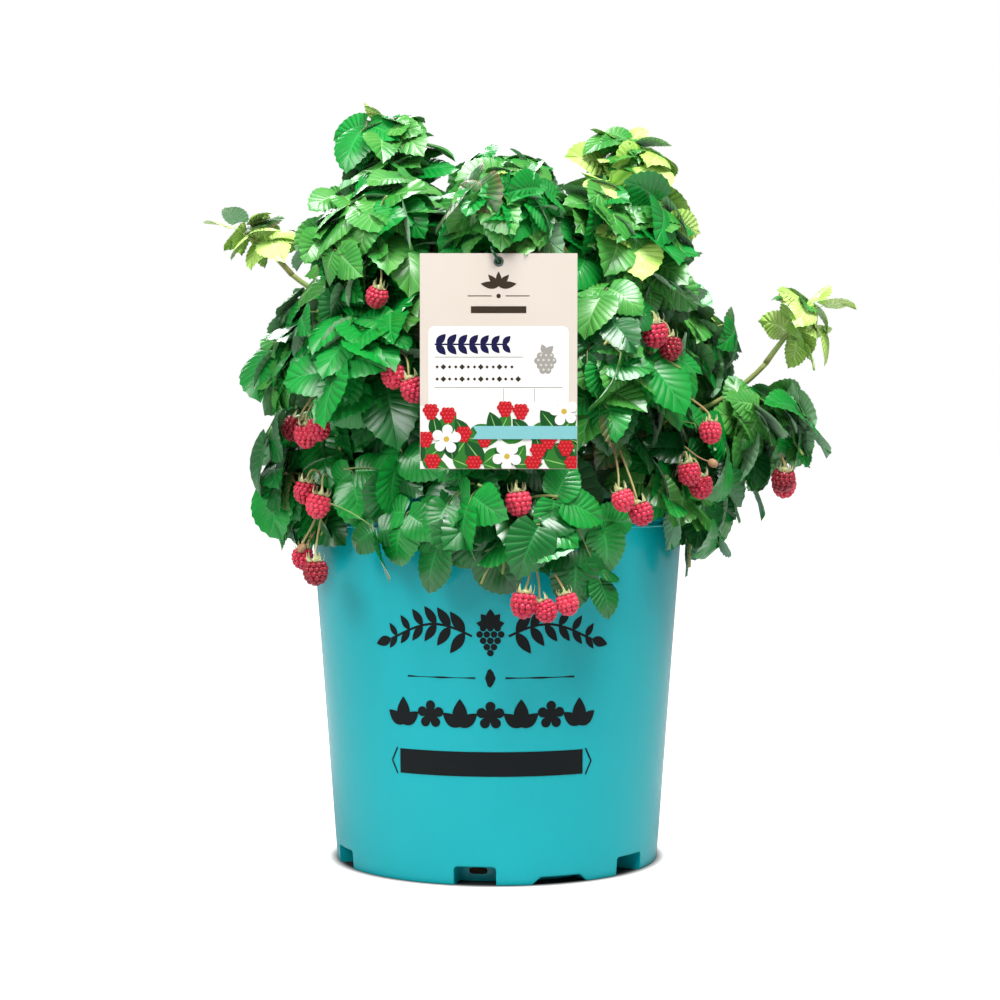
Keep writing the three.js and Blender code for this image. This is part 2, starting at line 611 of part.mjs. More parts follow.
// A berry with its stalk as one solid: three sides down the stalk and six round the berry.
function berrySolid({ joint, hang, centre }) {
  const level = (share) => sum([centre, 1], [UP, (0.5 - share) * BERRY.length]);
  const corners = [];
  const ring = (middle, radius, turn, sides) =>
    Array.from({ length: sides }, (_, i) => {
      const angle = (2 * Math.PI * i) / sides;
      const offset = vector(radius * Math.cos(angle), radius * Math.sin(angle)).applyQuaternion(turn);
      return corners.push(offset.add(middle)) - 1;
    });
  const top = level(0);
  const [out, down] = [hang.clone().sub(joint).normalize(), top.clone().sub(hang).normalize()];
  const ways = [DOWN, out, out.clone().add(down).normalize(), DOWN];
  const turns = [new THREE.Quaternion()];
  for (let i = 0; i < 3; i++) {
    turns.push(new THREE.Quaternion().setFromUnitVectors(ways[i], ways[i + 1]).multiply(turns[i]));
  }
  const stalk = [joint, hang, top].map((point, i) => ring(point, STALK.radius, turns[i + 1], 3));
  const fruit = BERRY_RINGS.map(([share, width]) => ring(level(share), BERRY.radius * width, turns[3], 6));
  const end = corners.push(level(1)) - 1;
  const faces = [stalk[0].toReversed(), ...sleeve(stalk[0], stalk[1]), ...sleeve(stalk[1], stalk[2])];
  stalk[2].forEach((corner, i) => {
    const [a, b, c] = [fruit[0][2 * i], fruit[0][2 * i + 1], fruit[0][(2 * i + 2) % 6]];
    faces.push([corner, b, a], [corner, c, b], [corner, stalk[2][(i + 1) % 3], c]);
  });
  faces.push(...sleeve(fruit[0], fruit[1]), ...sleeve(fruit[1], fruit[2]));
  fruit[2].forEach((corner, i) => faces.push([corner, fruit[2][(i + 1) % 6], end]));
  return polyhedron(corners, faces);
}

function massSolid(mass, plant) {
  const berries = plant.berries.filter((berry) => berry.mass === mass);
  const stem = limb(mass.stem, taper(STEM), STEM);
  return largest(wasm.Manifold.union([stem, ...mass.leaves.map(leafSolid), ...berries.map(berrySolid)]));
}

// A bough stops clear of the cane that it leaves.
function boughSolid({ curve, radiusAt, cane }) {
  const room = limb(cane.curve, (t) => cane.radiusAt(t) + CLEAR, CANE);
  return largest(limb(curve, radiusAt, BOUGH).subtract(room));
}

// ---------------------------------------------------------------- the whole object

const paint = (color, roughness) => new THREE.MeshStandardMaterial({ color, roughness, metalness: 0 });
const MATERIALS = {
  pot: paint(0x1fb5b8, 0.32),
  soil: paint(0x33241a, 0.95),
  card: paint(0xf1e9df, 0.5),
  tie: paint(0x1f4a2c, 0.45),
  bark: paint(0x7c8a4a, 0.7),
  leaf: paint(0x1f7a34, 0.5),
};

const plant = planPlant();
const bush = new THREE.Group();
bush.add(mesh("pot", potSolid(), MATERIALS.pot));
bush.add(mesh("soil", soilSolid(), MATERIALS.soil));
bush.add(mesh("label_card", cardSolid(), MATERIALS.card));
bush.add(mesh("label_tie", loopSolid(plant.tie.curve), MATERIALS.tie));
for (const cane of plant.canes) {
  bush.add(mesh(cane.name, limb(cane.curve, cane.radiusAt, CANE), MATERIALS.bark));
}
for (const bough of plant.boughs) {
  bush.add(mesh(bough.name, boughSolid(bough), MATERIALS.bark));
}
for (const mass of plant.masses) {
  bush.add(mesh(`leaves_${mass.name}`, massSolid(mass, plant), MATERIALS.leaf));
}

export default bush;
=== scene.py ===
"""A fruiting raspberry bush in a moulded nursery pot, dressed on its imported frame.

Lengths are millimetres until a Surface becomes a piece, which is in metres. +Z is up, -Y is the front,
and the origin is the middle of the pot's flat underside. A bearing is an angle round the pot in degrees:
0 is the front and 90 is +X.
"""

import logging
import math
from dataclasses import dataclass, field
from enum import Enum
from typing import Callable, ClassVar

import bpy
import numpy as np
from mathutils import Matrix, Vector


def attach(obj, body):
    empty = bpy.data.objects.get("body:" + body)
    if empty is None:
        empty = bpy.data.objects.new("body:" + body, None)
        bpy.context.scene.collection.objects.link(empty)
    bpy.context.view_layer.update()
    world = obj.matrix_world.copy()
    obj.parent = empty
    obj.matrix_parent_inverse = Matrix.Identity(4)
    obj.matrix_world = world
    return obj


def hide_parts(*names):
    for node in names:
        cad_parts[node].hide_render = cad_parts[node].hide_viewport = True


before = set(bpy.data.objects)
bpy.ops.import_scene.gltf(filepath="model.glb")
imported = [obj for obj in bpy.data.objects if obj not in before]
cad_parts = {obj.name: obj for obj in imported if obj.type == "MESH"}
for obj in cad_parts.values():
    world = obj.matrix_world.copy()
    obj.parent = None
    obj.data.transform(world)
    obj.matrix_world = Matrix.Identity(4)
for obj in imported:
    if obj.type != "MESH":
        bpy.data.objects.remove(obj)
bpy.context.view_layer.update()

LOG = logging.getLogger("raspberry")
Array = np.ndarray
MM = 0.001

# ---------------------------------------------------------------- the plant's named sizes, as in its solids

POT_HEIGHT, LIP_RADIUS, LIP_HEIGHT = 228.0, 121.2, 8.5
WALL_TOP_RADIUS, BASE_RADIUS = 119.2, 103.2
SOIL_LEVEL, SOIL_CROWN = 206.0, 4.0
CARD_WIDTH, CARD_HEIGHT, CARD_THICK = 91.0, 124.5, 0.6
CARD_FRONT, CARD_LOW, CARD_MIDDLE = -150.0, 252.5, 0.9
CARD_TOP = CARD_LOW + CARD_HEIGHT
EYELET_DROP, EYELET_HOLE = 4.8, 1.7
SEED = 4.7
GOLDEN_TURN, RETRY_TURN = 137.508, 1.31
HEART_UP, HEART_SQUASH = 282.0, 0.55
REACH, CELL_ROOM, LIMB_ROOM = 1.18, 0.4, 4.2
UP = np.array([0.0, 0.0, 1.0])


def chance(a: float, b: float, c: float) -> float:
    """A number from 0 to 1 that is always the same for the same keys: the fraction of a large sine."""
    s = math.sin(SEED + a * 12.9898 + b * 78.233 + c * 37.719) * 43758.5453
    return s - math.floor(s)


def around(bearing: Array | float, out: Array | float, up: Array | float) -> Array:
    """Points at a bearing in degrees, a distance out from the pot's axis and a height.

    Args:
        bearing: degrees from the front, towards +X.
        out: distance from the axis.
        up: height.

    Returns:
        (out sin, -out cos, up), with a last axis of three.
    """
    angle = np.radians(bearing)
    x, y, z = np.broadcast_arrays(out * np.sin(angle), -out * np.cos(angle), up)
    return np.stack([x, y, z], -1).astype(float)


def unit(v: Array) -> Array:
    """Vectors scaled to length 1 along their last axis."""
    return v / np.maximum(np.linalg.norm(v, axis=-1, keepdims=True), 1e-9)


def bezier(points: Array, t: Array) -> Array:
    """Points on Bezier curves, by repeated halfway lines between the control points.

    Args:
        points: ... x k x 3 control points.
        t: shares of the way along, of length m.

    Returns:
        ... x m x 3 points.
    """
    t = np.asarray(t, float)[:, None]
    layers = [points[..., i, None, :] for i in range(points.shape[-2])]
    while len(layers) > 1:
        layers = [a * (1 - t) + b * t for a, b in zip(layers, layers[1:])]
    return layers[0]


def smooth_noise(points: Array, size: float, seed: int) -> Array:
    """A soft random height from -1 to 1 at each point: a sum of sines in directions drawn from the seed.

    Args:
        points: ... x 3 points in millimetres.
        size: the width of a bump in millimetres.
        seed: which pattern.

    Returns:
        The heights.
    """
    rng = np.random.default_rng(seed)
    ways = unit(rng.normal(size=(9, 3))) * (math.pi / size) * rng.uniform(0.6, 1.5, (9, 1))
    return np.sin(points @ ways.T + rng.uniform(0, 2 * math.pi, 9)).mean(-1) * 1.8


# ---------------------------------------------------------------- surfaces as arrays, and pieces from them


@dataclass
class Surface:
    """A mesh as arrays.

    Attributes:
        points: n x 3 corners in millimetres.
        faces: arrays of corner numbers, one for each number of corners a face has.
        slots: for each array of faces, its faces' material numbers.
        uv: n x 2 pattern coordinates.
        rim: n marks, true where the edges between marked corners stay sharp.
    """

    points: Array
    faces: list[Array]
    slots: list[Array] | None = None
    uv: Array | None = None
    rim: Array | None = None

    @staticmethod
    def joined(parts: list["Surface"]) -> "Surface":
        """One surface with the corners and faces of all the parts.

        Args:
            parts: the surfaces, in order.

        Returns:
            The whole, whose corners and faces keep that order.
        """
        starts = np.cumsum([0] + [len(p.points) for p in parts[:-1]])
        faces = [f + s for p, s in zip(parts, starts) for f in p.faces]
        slots = [s for p in parts for s in (p.slots or [np.zeros(len(f), int) for f in p.faces])]
        uv = np.vstack([np.zeros((len(p.points), 2)) if p.uv is None else p.uv for p in parts])
        rim = np.concatenate([np.zeros(len(p.points), bool) if p.rim is None else p.rim for p in parts])
        return Surface(np.vstack([p.points for p in parts]), faces, slots, uv, rim)

    def in_slot(self, number: int) -> "Surface":
        """The same surface with every face in one material slot."""
        slots = [np.full(len(f), number) for f in self.faces]
        return Surface(self.points, self.faces, slots, self.uv, self.rim)

    def piece(
        self, name: str, finishes: list[bpy.types.Material], slot: str,
        replaces: list[str] | None = None, smooth: bool = True,
    ) -> bpy.types.Object:
        """Makes the Blender object, at the origin, parents it to the root body and hides the solids that it
        stands for.

        Args:
            name: the piece's name.
            finishes: its materials, in slot order.
            slot: the record's material slot; not used.
            replaces: the solids that it stands for.
            smooth: whether its faces are shaded smooth.

        Returns:
            The object.
        """
        mesh = bpy.data.meshes.new(name)
        loops = np.concatenate([f.ravel() for f in self.faces]).astype(np.int32)
        sizes = np.concatenate([np.full(len(f), f.shape[1]) for f in self.faces])
        starts = np.concatenate([[0], np.cumsum(sizes)[:-1]]).astype(np.int32)
        mesh.vertices.add(len(self.points))
        mesh.vertices.foreach_set("co", (self.points * MM).astype(np.float32).ravel())
        mesh.loops.add(len(loops))
        mesh.loops.foreach_set("vertex_index", loops)
        mesh.polygons.add(len(sizes))
        mesh.polygons.foreach_set("loop_start", starts)
        if self.slots is not None:
            mesh.polygons.foreach_set("material_index", np.concatenate(self.slots).astype(np.int32))
        mesh.update(calc_edges=True)
        mesh.validate()
        mesh.polygons.foreach_set("use_smooth", np.full(len(mesh.polygons), smooth))
        if self.uv is not None:
            layer = mesh.uv_layers.new(name="pattern")
            layer.data.foreach_set("uv", self.uv[loops].astype(np.float32).ravel())
        if self.rim is not None and self.rim.any():
            ends = np.zeros(len(mesh.edges) * 2, np.int32)
            mesh.edges.foreach_get("vertices", ends)
            sharp = self.rim[ends.reshape(-1, 2)].all(1)
            mesh.attributes.new("sharp_edge", "BOOLEAN", "EDGE").data.foreach_set("value", sharp)
        for finish in finishes:
            mesh.materials.append(finish)
        made = bpy.data.objects.new(name, mesh)
        bpy.context.scene.collection.objects.link(made)
        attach(made, "root")
        if replaces:
            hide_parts(*replaces)
        LOG.info("%s: %d triangles", name, (sizes - 2).sum())
        return made


def grid(points: Array, wrap_rows: bool = False, wrap_columns: bool = False, poles: bool = False) -> Surface:
    """A surface over a grid of points, rows x columns x 3.

    Faces run from each row to the next and face to the side where columns turn left. With poles, the first
    and last rows are single points, and triangles join them to their neighbours.

    Args:
        points: the grid.
        wrap_rows: whether the last row joins the first.
        wrap_columns: whether the last column joins the first.
        poles: whether the first and the last row close to a point each.

    Returns:
        The surface.
    """
    rows, columns = points.shape[:2]
    number = np.arange(rows * columns).reshape(rows, columns)
    if poles:
        number = number - (columns - 1)
        number[0] = 0
        number[-1] = number[-2, -1] + 1
    across = np.concatenate([number, number[:, :1]], 1) if wrap_columns else number
    down = np.concatenate([across, across[:1]], 0) if wrap_rows else across
    quads = np.stack([down[:-1, :-1], down[:-1, 1:], down[1:, 1:], down[1:, :-1]], -1)
    flat = points.reshape(-1, 3)
    if not poles:
        return Surface(flat, [quads.reshape(-1, 4)])
    first, last = quads[0][:, [0, 2, 3]], quads[-1][:, [0, 1, 2]]
    kept = np.vstack([flat[:1], points[1:-1].reshape(-1, 3), flat[-1:]])
    return Surface(kept, [quads[1:-1].reshape(-1, 4), np.vstack([first, last])])


def tubes(centres: Array, radii: Array, sides: int = 6, flat: float = 1.0) -> Surface:
    """Round tubes along n curves of k points each, with closed ends.

    Each ring lies square to its curve, and its frame is carried from ring to ring with no twist.

    Args:
        centres: n x k x 3 points.
        radii: n x k radii, or n x k x sides for a relief.
        sides: corners in a ring.
        flat: the share of its width that a ring is thick.

    Returns:
        The tubes as one surface.
    """
    n, k = centres.shape[:2]
    ways = unit(np.gradient(centres, axis=1))
    start = np.eye(3)[np.abs(ways[:, 0]).argmin(1)]
    normals = [unit(np.cross(ways[:, 0], start))]
    for i in range(1, k):
        last = normals[-1]
        normals.append(unit(last - (last * ways[:, i]).sum(-1, keepdims=True) * ways[:, i]))
    normal = np.stack(normals, 1)
    other = np.cross(ways, normal)
    turn = np.arange(sides) * 2 * math.pi / sides
    radii = radii[..., None] if radii.ndim == 2 else radii
    x, y = radii * np.cos(turn), radii * np.sin(turn) * flat
    across = x[..., None] * normal[:, :, None] + y[..., None] * other[:, :, None]
    rings = centres[:, :, None] + across
    number = np.arange(n * k * sides).reshape(n, k, sides)
    wrapped = np.concatenate([number, number[:, :, :1]], 2)
    low, high = wrapped[:, :-1], wrapped[:, 1:]
    quads = np.stack([low[..., :-1], low[..., 1:], high[..., 1:], high[..., :-1]], -1)
    return Surface(rings.reshape(-1, 3), [quads.reshape(-1, 4), number[:, 0, ::-1], number[:, -1]])


def turned_profile(profile: list[tuple[float, float]], sides: int) -> Surface:
    """A profile turned round Z, from its lower pole to its upper one.

    Args:
        profile: radii and heights.
        sides: how many columns.

    Returns:
        The closed surface.
    """
    bearing = np.arange(sides) * (360 / sides)
    rows = np.stack([around(bearing, r, z) for r, z in profile])
    return grid(rows, wrap_columns=True, poles=True)


def spread(shape: Surface, origins: Array, axes: Array, sizes: Array) -> Surface:
    """Copies of a small shape, joined: each turned to its own axes, scaled and set at its own origin.

    Args:
        shape: the shape, round its own origin.
        origins: n x 3 places.
        axes: n x 3 x 3, whose rows are where the shape's X, Y and Z point.
        sizes: n scales.

    Returns:
        The copies as one surface.
    """
    points = np.einsum("pi,nij->npj", shape.points, axes) * sizes[:, None, None] + origins[:, None]
    step = (np.arange(len(origins)) * len(shape.points))[:, None, None]
    faces = [(f[None] + step).reshape(-1, f.shape[1]) for f in shape.faces]
    return Surface(points.reshape(-1, 3), faces)


def axes_towards(way: Array, side: Array) -> Array:
    """Right-handed axes from two vectors.

    Args:
        way: n x 3, where Z points.
        side: n x 3, the side on which X lies, square to Z.

    Returns:
        n x 3 x 3, whose rows are X, Y and Z.
    """
    z = unit(way)
    x = unit(side - (side * z).sum(-1, keepdims=True) * z)
    return np.stack([x, np.cross(z, x), z], -2)


# ---------------------------------------------------------------- finishes


def linear(colour: str) -> tuple[float, float, float, float]:
    """An sRGB hex colour as linear light: c / 12.92 when dark, else ((c + 0.055) / 1.055)^2.4.

    Args:
        colour: the colour as # and six hex digits.

    Returns:
        Red, green, blue and an alpha of 1.
    """
    parts = [int(colour[i : i + 2], 16) / 255 for i in (1, 3, 5)]
    r, g, b = [c / 12.92 if c <= 0.04045 else ((c + 0.055) / 1.055) ** 2.4 for c in parts]
    return r, g, b, 1.0


def add(
    tree: bpy.types.NodeTree, kind: str, inputs: dict | None = None, **settings: object
) -> bpy.types.Node:
    """Adds a node with its settings, input values and links.

    Args:
        tree: the material's nodes.
        kind: the node's type.
        inputs: values or output sockets, by input name or number.
        settings: the node's own properties.

    Returns:
        The node.
    """
    made = tree.nodes.new(kind)
    for name, value in settings.items():
        setattr(made, name, value)
    for key, value in (inputs or {}).items():
        if isinstance(value, bpy.types.NodeSocket):
            tree.links.new(value, made.inputs[key])
        else:
            made.inputs[key].default_value = value
    return made


def blend(tree: bpy.types.NodeTree, share: object, first: object, second: object) -> bpy.types.NodeSocket:
    """A colour between two, each given as a colour or a socket, by a share from 0 to 1."""
    inputs = {"Factor": share, 6: first, 7: second}
    return add(tree, "ShaderNodeMix", inputs, data_type="RGBA").outputs[2]


@dataclass(frozen=True)
class Finish:
    """A finish of one base colour with a fine mottle and a fine relief, both at real sizes in millimetres.

    Attributes:
        name: the real material and how its surface was made.
        colour: sRGB hex.
        mottle: sRGB hex that the colour drifts towards in patches.
        mottle_mm: the size of a patch.
        mottle_share: how far it drifts.
        roughness: microscopic roughness.
        relief_mm: the size of the bumps, 0 for none.
        relief: the height of the bumps in millimetres.
        ior: index of refraction.
        coat: clear gloss on top.
        sheen: soft fuzz.
        bleed: light that scatters under the surface.
        gloss: how strong its mirror-like part is, 0.5 for a typical one.
        coat_roughness: how soft the clear gloss is.
    """

    name: str
    colour: str
    mottle: str
    mottle_mm: float = 20.0
    mottle_share: float = 0.5
    roughness: float = 0.5
    relief_mm: float = 0.0
    relief: float = 0.05
    ior: float = 1.5
    coat: float = 0.0
    sheen: float = 0.0
    bleed: float = 0.0
    gloss: float = 0.5
    coat_roughness: float = 0.2

    PATCHES: ClassVar[tuple[float, float]] = (0.35, 0.68)
    BLEED_MM: ClassVar[float] = 1.5
    BLEED_REACH: ClassVar[tuple[float, float, float]] = (1.0, 0.35, 0.25)

    def noise(self, tree: bpy.types.NodeTree, size: float, detail: float = 3.0) -> bpy.types.NodeSocket:
        """Noise over Object coordinates whose bumps are about the given size in millimetres.

        Args:
            tree: the material's nodes.
            size: the size of a bump.
            detail: how many finer layers are on it.

        Returns:
            The socket with a value from 0 to 1.
        """
        place = add(tree, "ShaderNodeTexCoord").outputs["Object"]
        inputs = {"Vector": place, "Scale": 1 / (size * MM), "Detail": detail}
        return add(tree, "ShaderNodeTexNoise", inputs).outputs["Fac"]

    def colours(self, tree: bpy.types.NodeTree) -> bpy.types.NodeSocket:
        """The base colour, drifting to the mottle colour where noise rises from a low to a high level.

        Args:
            tree: the material's nodes.

        Returns:
            The socket with the colour.
        """
        low, high = self.PATCHES
        noise = self.noise(tree, self.mottle_mm)
        ramp = {"Value": noise, "From Min": low, "From Max": high, "To Max": self.mottle_share}
        share = add(tree, "ShaderNodeMapRange", ramp).outputs["Result"]
        return blend(tree, share, linear(self.colour), linear(self.mottle))

    def height(self, tree: bpy.types.NodeTree) -> bpy.types.NodeSocket:
        """The relief's height from 0 to 1."""
        return self.noise(tree, self.relief_mm, 2.0)

    def make(self) -> bpy.types.Material:
        """Builds the material.

        Returns:
            The material, named for the finish.
        """
        material = bpy.data.materials.new(self.name)
        material.use_nodes = True
        tree = material.node_tree
        shader = tree.nodes["Principled BSDF"]
        tree.links.new(self.colours(tree), shader.inputs["Base Color"])
        if self.relief_mm:
            inputs = {"Height": self.height(tree), "Strength": 1.0, "Distance": self.relief * MM}
            bump = add(tree, "ShaderNodeBump", inputs)
            tree.links.new(bump.outputs["Normal"], shader.inputs["Normal"])
        for socket, value in {
            "Roughness": self.roughness,
            "IOR": self.ior,
            "Coat Weight": self.coat,
            "Coat Roughness": self.coat_roughness,
            "Sheen Weight": self.sheen,
            "Subsurface Weight": self.bleed,
            "Subsurface Scale": self.BLEED_MM * MM,
            "Specular IOR Level": self.gloss,
        }.items():
            shader.inputs[socket].default_value = value
        shader.inputs["Subsurface Radius"].default_value = self.BLEED_REACH
        return material


@dataclass(frozen=True)
class LeafFinish(Finish):
    """A living leaf: its veins follow the blade's own pattern coordinates, a pair of veins to each row.

    Attributes:
        vein: sRGB hex of the midrib and the side veins.
        vein_share: how plainly they show.
        margin: sRGB hex that the toothed margin is flushed with.
        margin_share: how far it is flushed.
    """

    vein: str = "#8cc48a"
    vein_share: float = 0.5
    margin: str = "#7a3a22"
    margin_share: float = 0.0

    GRAIN: ClassVar[float] = 0.14

    def pattern(self, tree: bpy.types.NodeTree) -> tuple[bpy.types.NodeSocket, bpy.types.NodeSocket]:
        """Where a point is on its blade, from the pattern coordinates.

        Args:
            tree: the material's nodes.

        Returns:
            The distance off the midrib, 0 to 0.5, and the height between veins, |sin| of the way along,
            which is 0 on each vein.
        """
        place = add(tree, "ShaderNodeUVMap", uv_map="pattern").outputs["UV"]
        apart = add(tree, "ShaderNodeSeparateXYZ", {0: place})
        off = self.sums(tree, "ABSOLUTE", self.sums(tree, "SUBTRACT", apart.outputs[0], 0.5))
        wave = self.sums(tree, "SINE", self.sums(tree, "MULTIPLY", apart.outputs[1], math.pi * Blade.ROWS))
        return off, self.sums(tree, "ABSOLUTE", wave)

    @staticmethod
    def sums(tree: bpy.types.NodeTree, operation: str, a: object, b: object = 0.0) -> bpy.types.NodeSocket:
        """One step of arithmetic."""
        return add(tree, "ShaderNodeMath", {0: a, 1: b}, operation=operation).outputs[0]

    @staticmethod
    def soft(
        tree: bpy.types.NodeTree, value: object, low: float, high: float, top: float = 1.0
    ) -> bpy.types.NodeSocket:
        """A smooth step from 0 at low to top at high."""
        ramp = {"Value": value, "From Min": low, "From Max": high, "To Min": 0.0, "To Max": top}
        return add(tree, "ShaderNodeMapRange", ramp, interpolation_type="SMOOTHSTEP").outputs["Result"]

    def colours(self, tree: bpy.types.NodeTree) -> bpy.types.NodeSocket:
        """The mottled base colour with paler veins, and a flush along the margin.

        Args:
            tree: the material's nodes.

        Returns:
            The socket with the colour.
        """
        off, dome = self.pattern(tree)
        midrib = self.soft(tree, off, 0.04, 0.012)
        on_vein, off_margin = self.soft(tree, dome, 0.34, 0.06, 0.8), self.soft(tree, off, 0.5, 0.3)
        vein = self.sums(tree, "MULTIPLY", on_vein, off_margin)
        shown = self.sums(tree, "MULTIPLY", self.sums(tree, "MAXIMUM", midrib, vein), self.vein_share)
        veined = blend(tree, shown, super().colours(tree), linear(self.vein))
        flush = self.soft(tree, off, 0.3, 0.5, self.margin_share)
        return blend(tree, flush, veined, linear(self.margin))

    def height(self, tree: bpy.types.NodeTree) -> bpy.types.NodeSocket:
        """Quilting: the blade stands up between its veins, which are sunk, with a fine grain on it.

        Args:
            tree: the material's nodes.

        Returns:
            The socket with the height.
        """
        off, dome = self.pattern(tree)
        quilt = self.sums(tree, "MULTIPLY", dome, self.soft(tree, off, 0.0, 0.14))
        grain = self.sums(tree, "MULTIPLY", super().height(tree), self.GRAIN)
        return self.sums(tree, "ADD", quilt, grain)


class Tone(Enum):
    """The tones of leaf that are dealt out over the bush, in slot order, and the shared underside."""

    DEEP = 0
    MID = 1
    FRESH = 2
    YOUNG = 3
    BRONZE = 4
    UNDERSIDE = 5


def waxy(name: str, colour: str, mottle: str, mottle_mm: float, **settings: object) -> LeafFinish:
    """The top of a leaf, waxy and quilted, so that it gives broken highlights with soft edges.

    Args:
        name: the finish's name.
        colour: sRGB hex.
        mottle: sRGB hex that it drifts towards.
        mottle_mm: the size of a patch.
        settings: what is its own.

    Returns:
        The finish.
    """
    shared = {"mottle_share": 0.7, "roughness": 0.42, "relief_mm": 1.4, "relief": 0.6, "ior": 1.45}
    shared |= {"coat": 1.0, "gloss": 0.15, "coat_roughness": 0.26}
    return LeafFinish(name, colour, mottle, mottle_mm, **(shared | settings))


# The green tones are dealt out by place as well as by age and chance: the deep tone low down is painted
# shade, and the paler tones high up and towards +X are partly painted light.
LEAF_FINISHES = {
    Tone.DEEP: waxy("leaf_top_deep", "#005a1c", "#007028", 30, vein="#3f9a5a", vein_share=0.3),
    Tone.MID: waxy("leaf_top_mid", "#00842a", "#109838", 30, vein="#58b46a", vein_share=0.33),
    Tone.FRESH: waxy(
        "leaf_top_fresh", "#2c8e32", "#62a648", 26, coat_roughness=0.28, vein="#a6d890", vein_share=0.38
    ),
    Tone.YOUNG: waxy(
        "leaf_top_young", "#a6d45c", "#cee690", 20, roughness=0.45, relief_mm=1.2, coat=0.5, gloss=0.2,
        coat_roughness=0.2, vein="#e4f2b8", vein_share=0.4,
    ),
    Tone.BRONZE: waxy(
        "leaf_top_bronze", "#1a5c24", "#3a702c", 18, mottle_share=0.8, relief=0.9, coat=0.7, gloss=0.3,
        coat_roughness=0.3, vein="#86683e", vein_share=0.4, margin="#6e4426", margin_share=0.6,
    ),
    # Undersides are felted with fine hairs, so they are pale and have no gloss.
    Tone.UNDERSIDE: LeafFinish(
        "leaf_underside_felted", "#7fb488", "#9cc49a", 24, 0.7, 0.75, 0.8, 0.5, 1.45,
        sheen=0.2, gloss=0.3, vein="#6aa070", vein_share=0.6,
    ),
}


# ---------------------------------------------------------------- how the bush grows: the rule of its solids


@dataclass
class Mass:
    """A mass of leaves with a room of its own, on a stem from its foot through its centre."""

    name: str
    number: int
    bearing: float
    out: float
    up: float
    pitch: float
    reach: float
    room: float
    leaf: float
    centre: Array = field(init=False)
    grow: Array = field(init=False)
    stem: Array = field(init=False)

    def __post_init__(self) -> None:
        """Works out the stem: a curve of three points that is arched up in its middle."""
        pitch = math.radians(self.pitch)
        self.centre = around(self.bearing, self.out, self.up)
        self.grow = around(self.bearing, 1, 0) * math.cos(pitch) + UP * math.sin(pitch)
        foot = self.centre - self.grow * self.reach
        tip = self.centre + self.grow * self.reach * 0.8
        self.stem = np.stack([foot, self.centre + UP * self.reach * 0.25, tip])


@dataclass
class Limb:
    """A cane, bough, stem, twig or stalk: a Bezier curve with a radius at its foot and its tip."""

    curve: Array
    foot: float
    tip: float
    flare: float = 0.0

    def points(self, count: int) -> Array:
        """Evenly stepped points along it."""
        return bezier(self.curve, np.linspace(0, 1, count))

    def radii(self, count: int) -> Array:
        """Its radius at those points: a straight taper, with a flare that dies away from the foot."""
        t = np.linspace(0, 1, count)
        return self.foot + (self.tip - self.foot) * t + self.flare * np.exp(-t * 22)

    def spots(self) -> Array:
        """Points along it, to keep leaves off it.

        Returns:
            n x 4 points with the radius last, at most a limb's room apart.
        """
        fine = self.points(24)
        count = int(np.linalg.norm(np.diff(fine, axis=0), axis=1).sum() / LIMB_ROOM) + 2
        return np.column_stack([self.points(count), self.radii(count)])


@dataclass
class Berry:
    """A berry: where its stalk leaves the stem, where it bends over, the fruit's middle, and its view out."""

    mass: int
    joint: Array
    hang: Array
    centre: Array
    view: Array


@dataclass
class Leaf:
    """A compound leaf: its stalk's ends, its plane, its blades' turns in degrees, and how far open it is."""

    mass: int
    joint: Array
    fork: Array
    along: Array
    face: Array
    size: float
    turns: list[float]
    age: float
    finer: bool


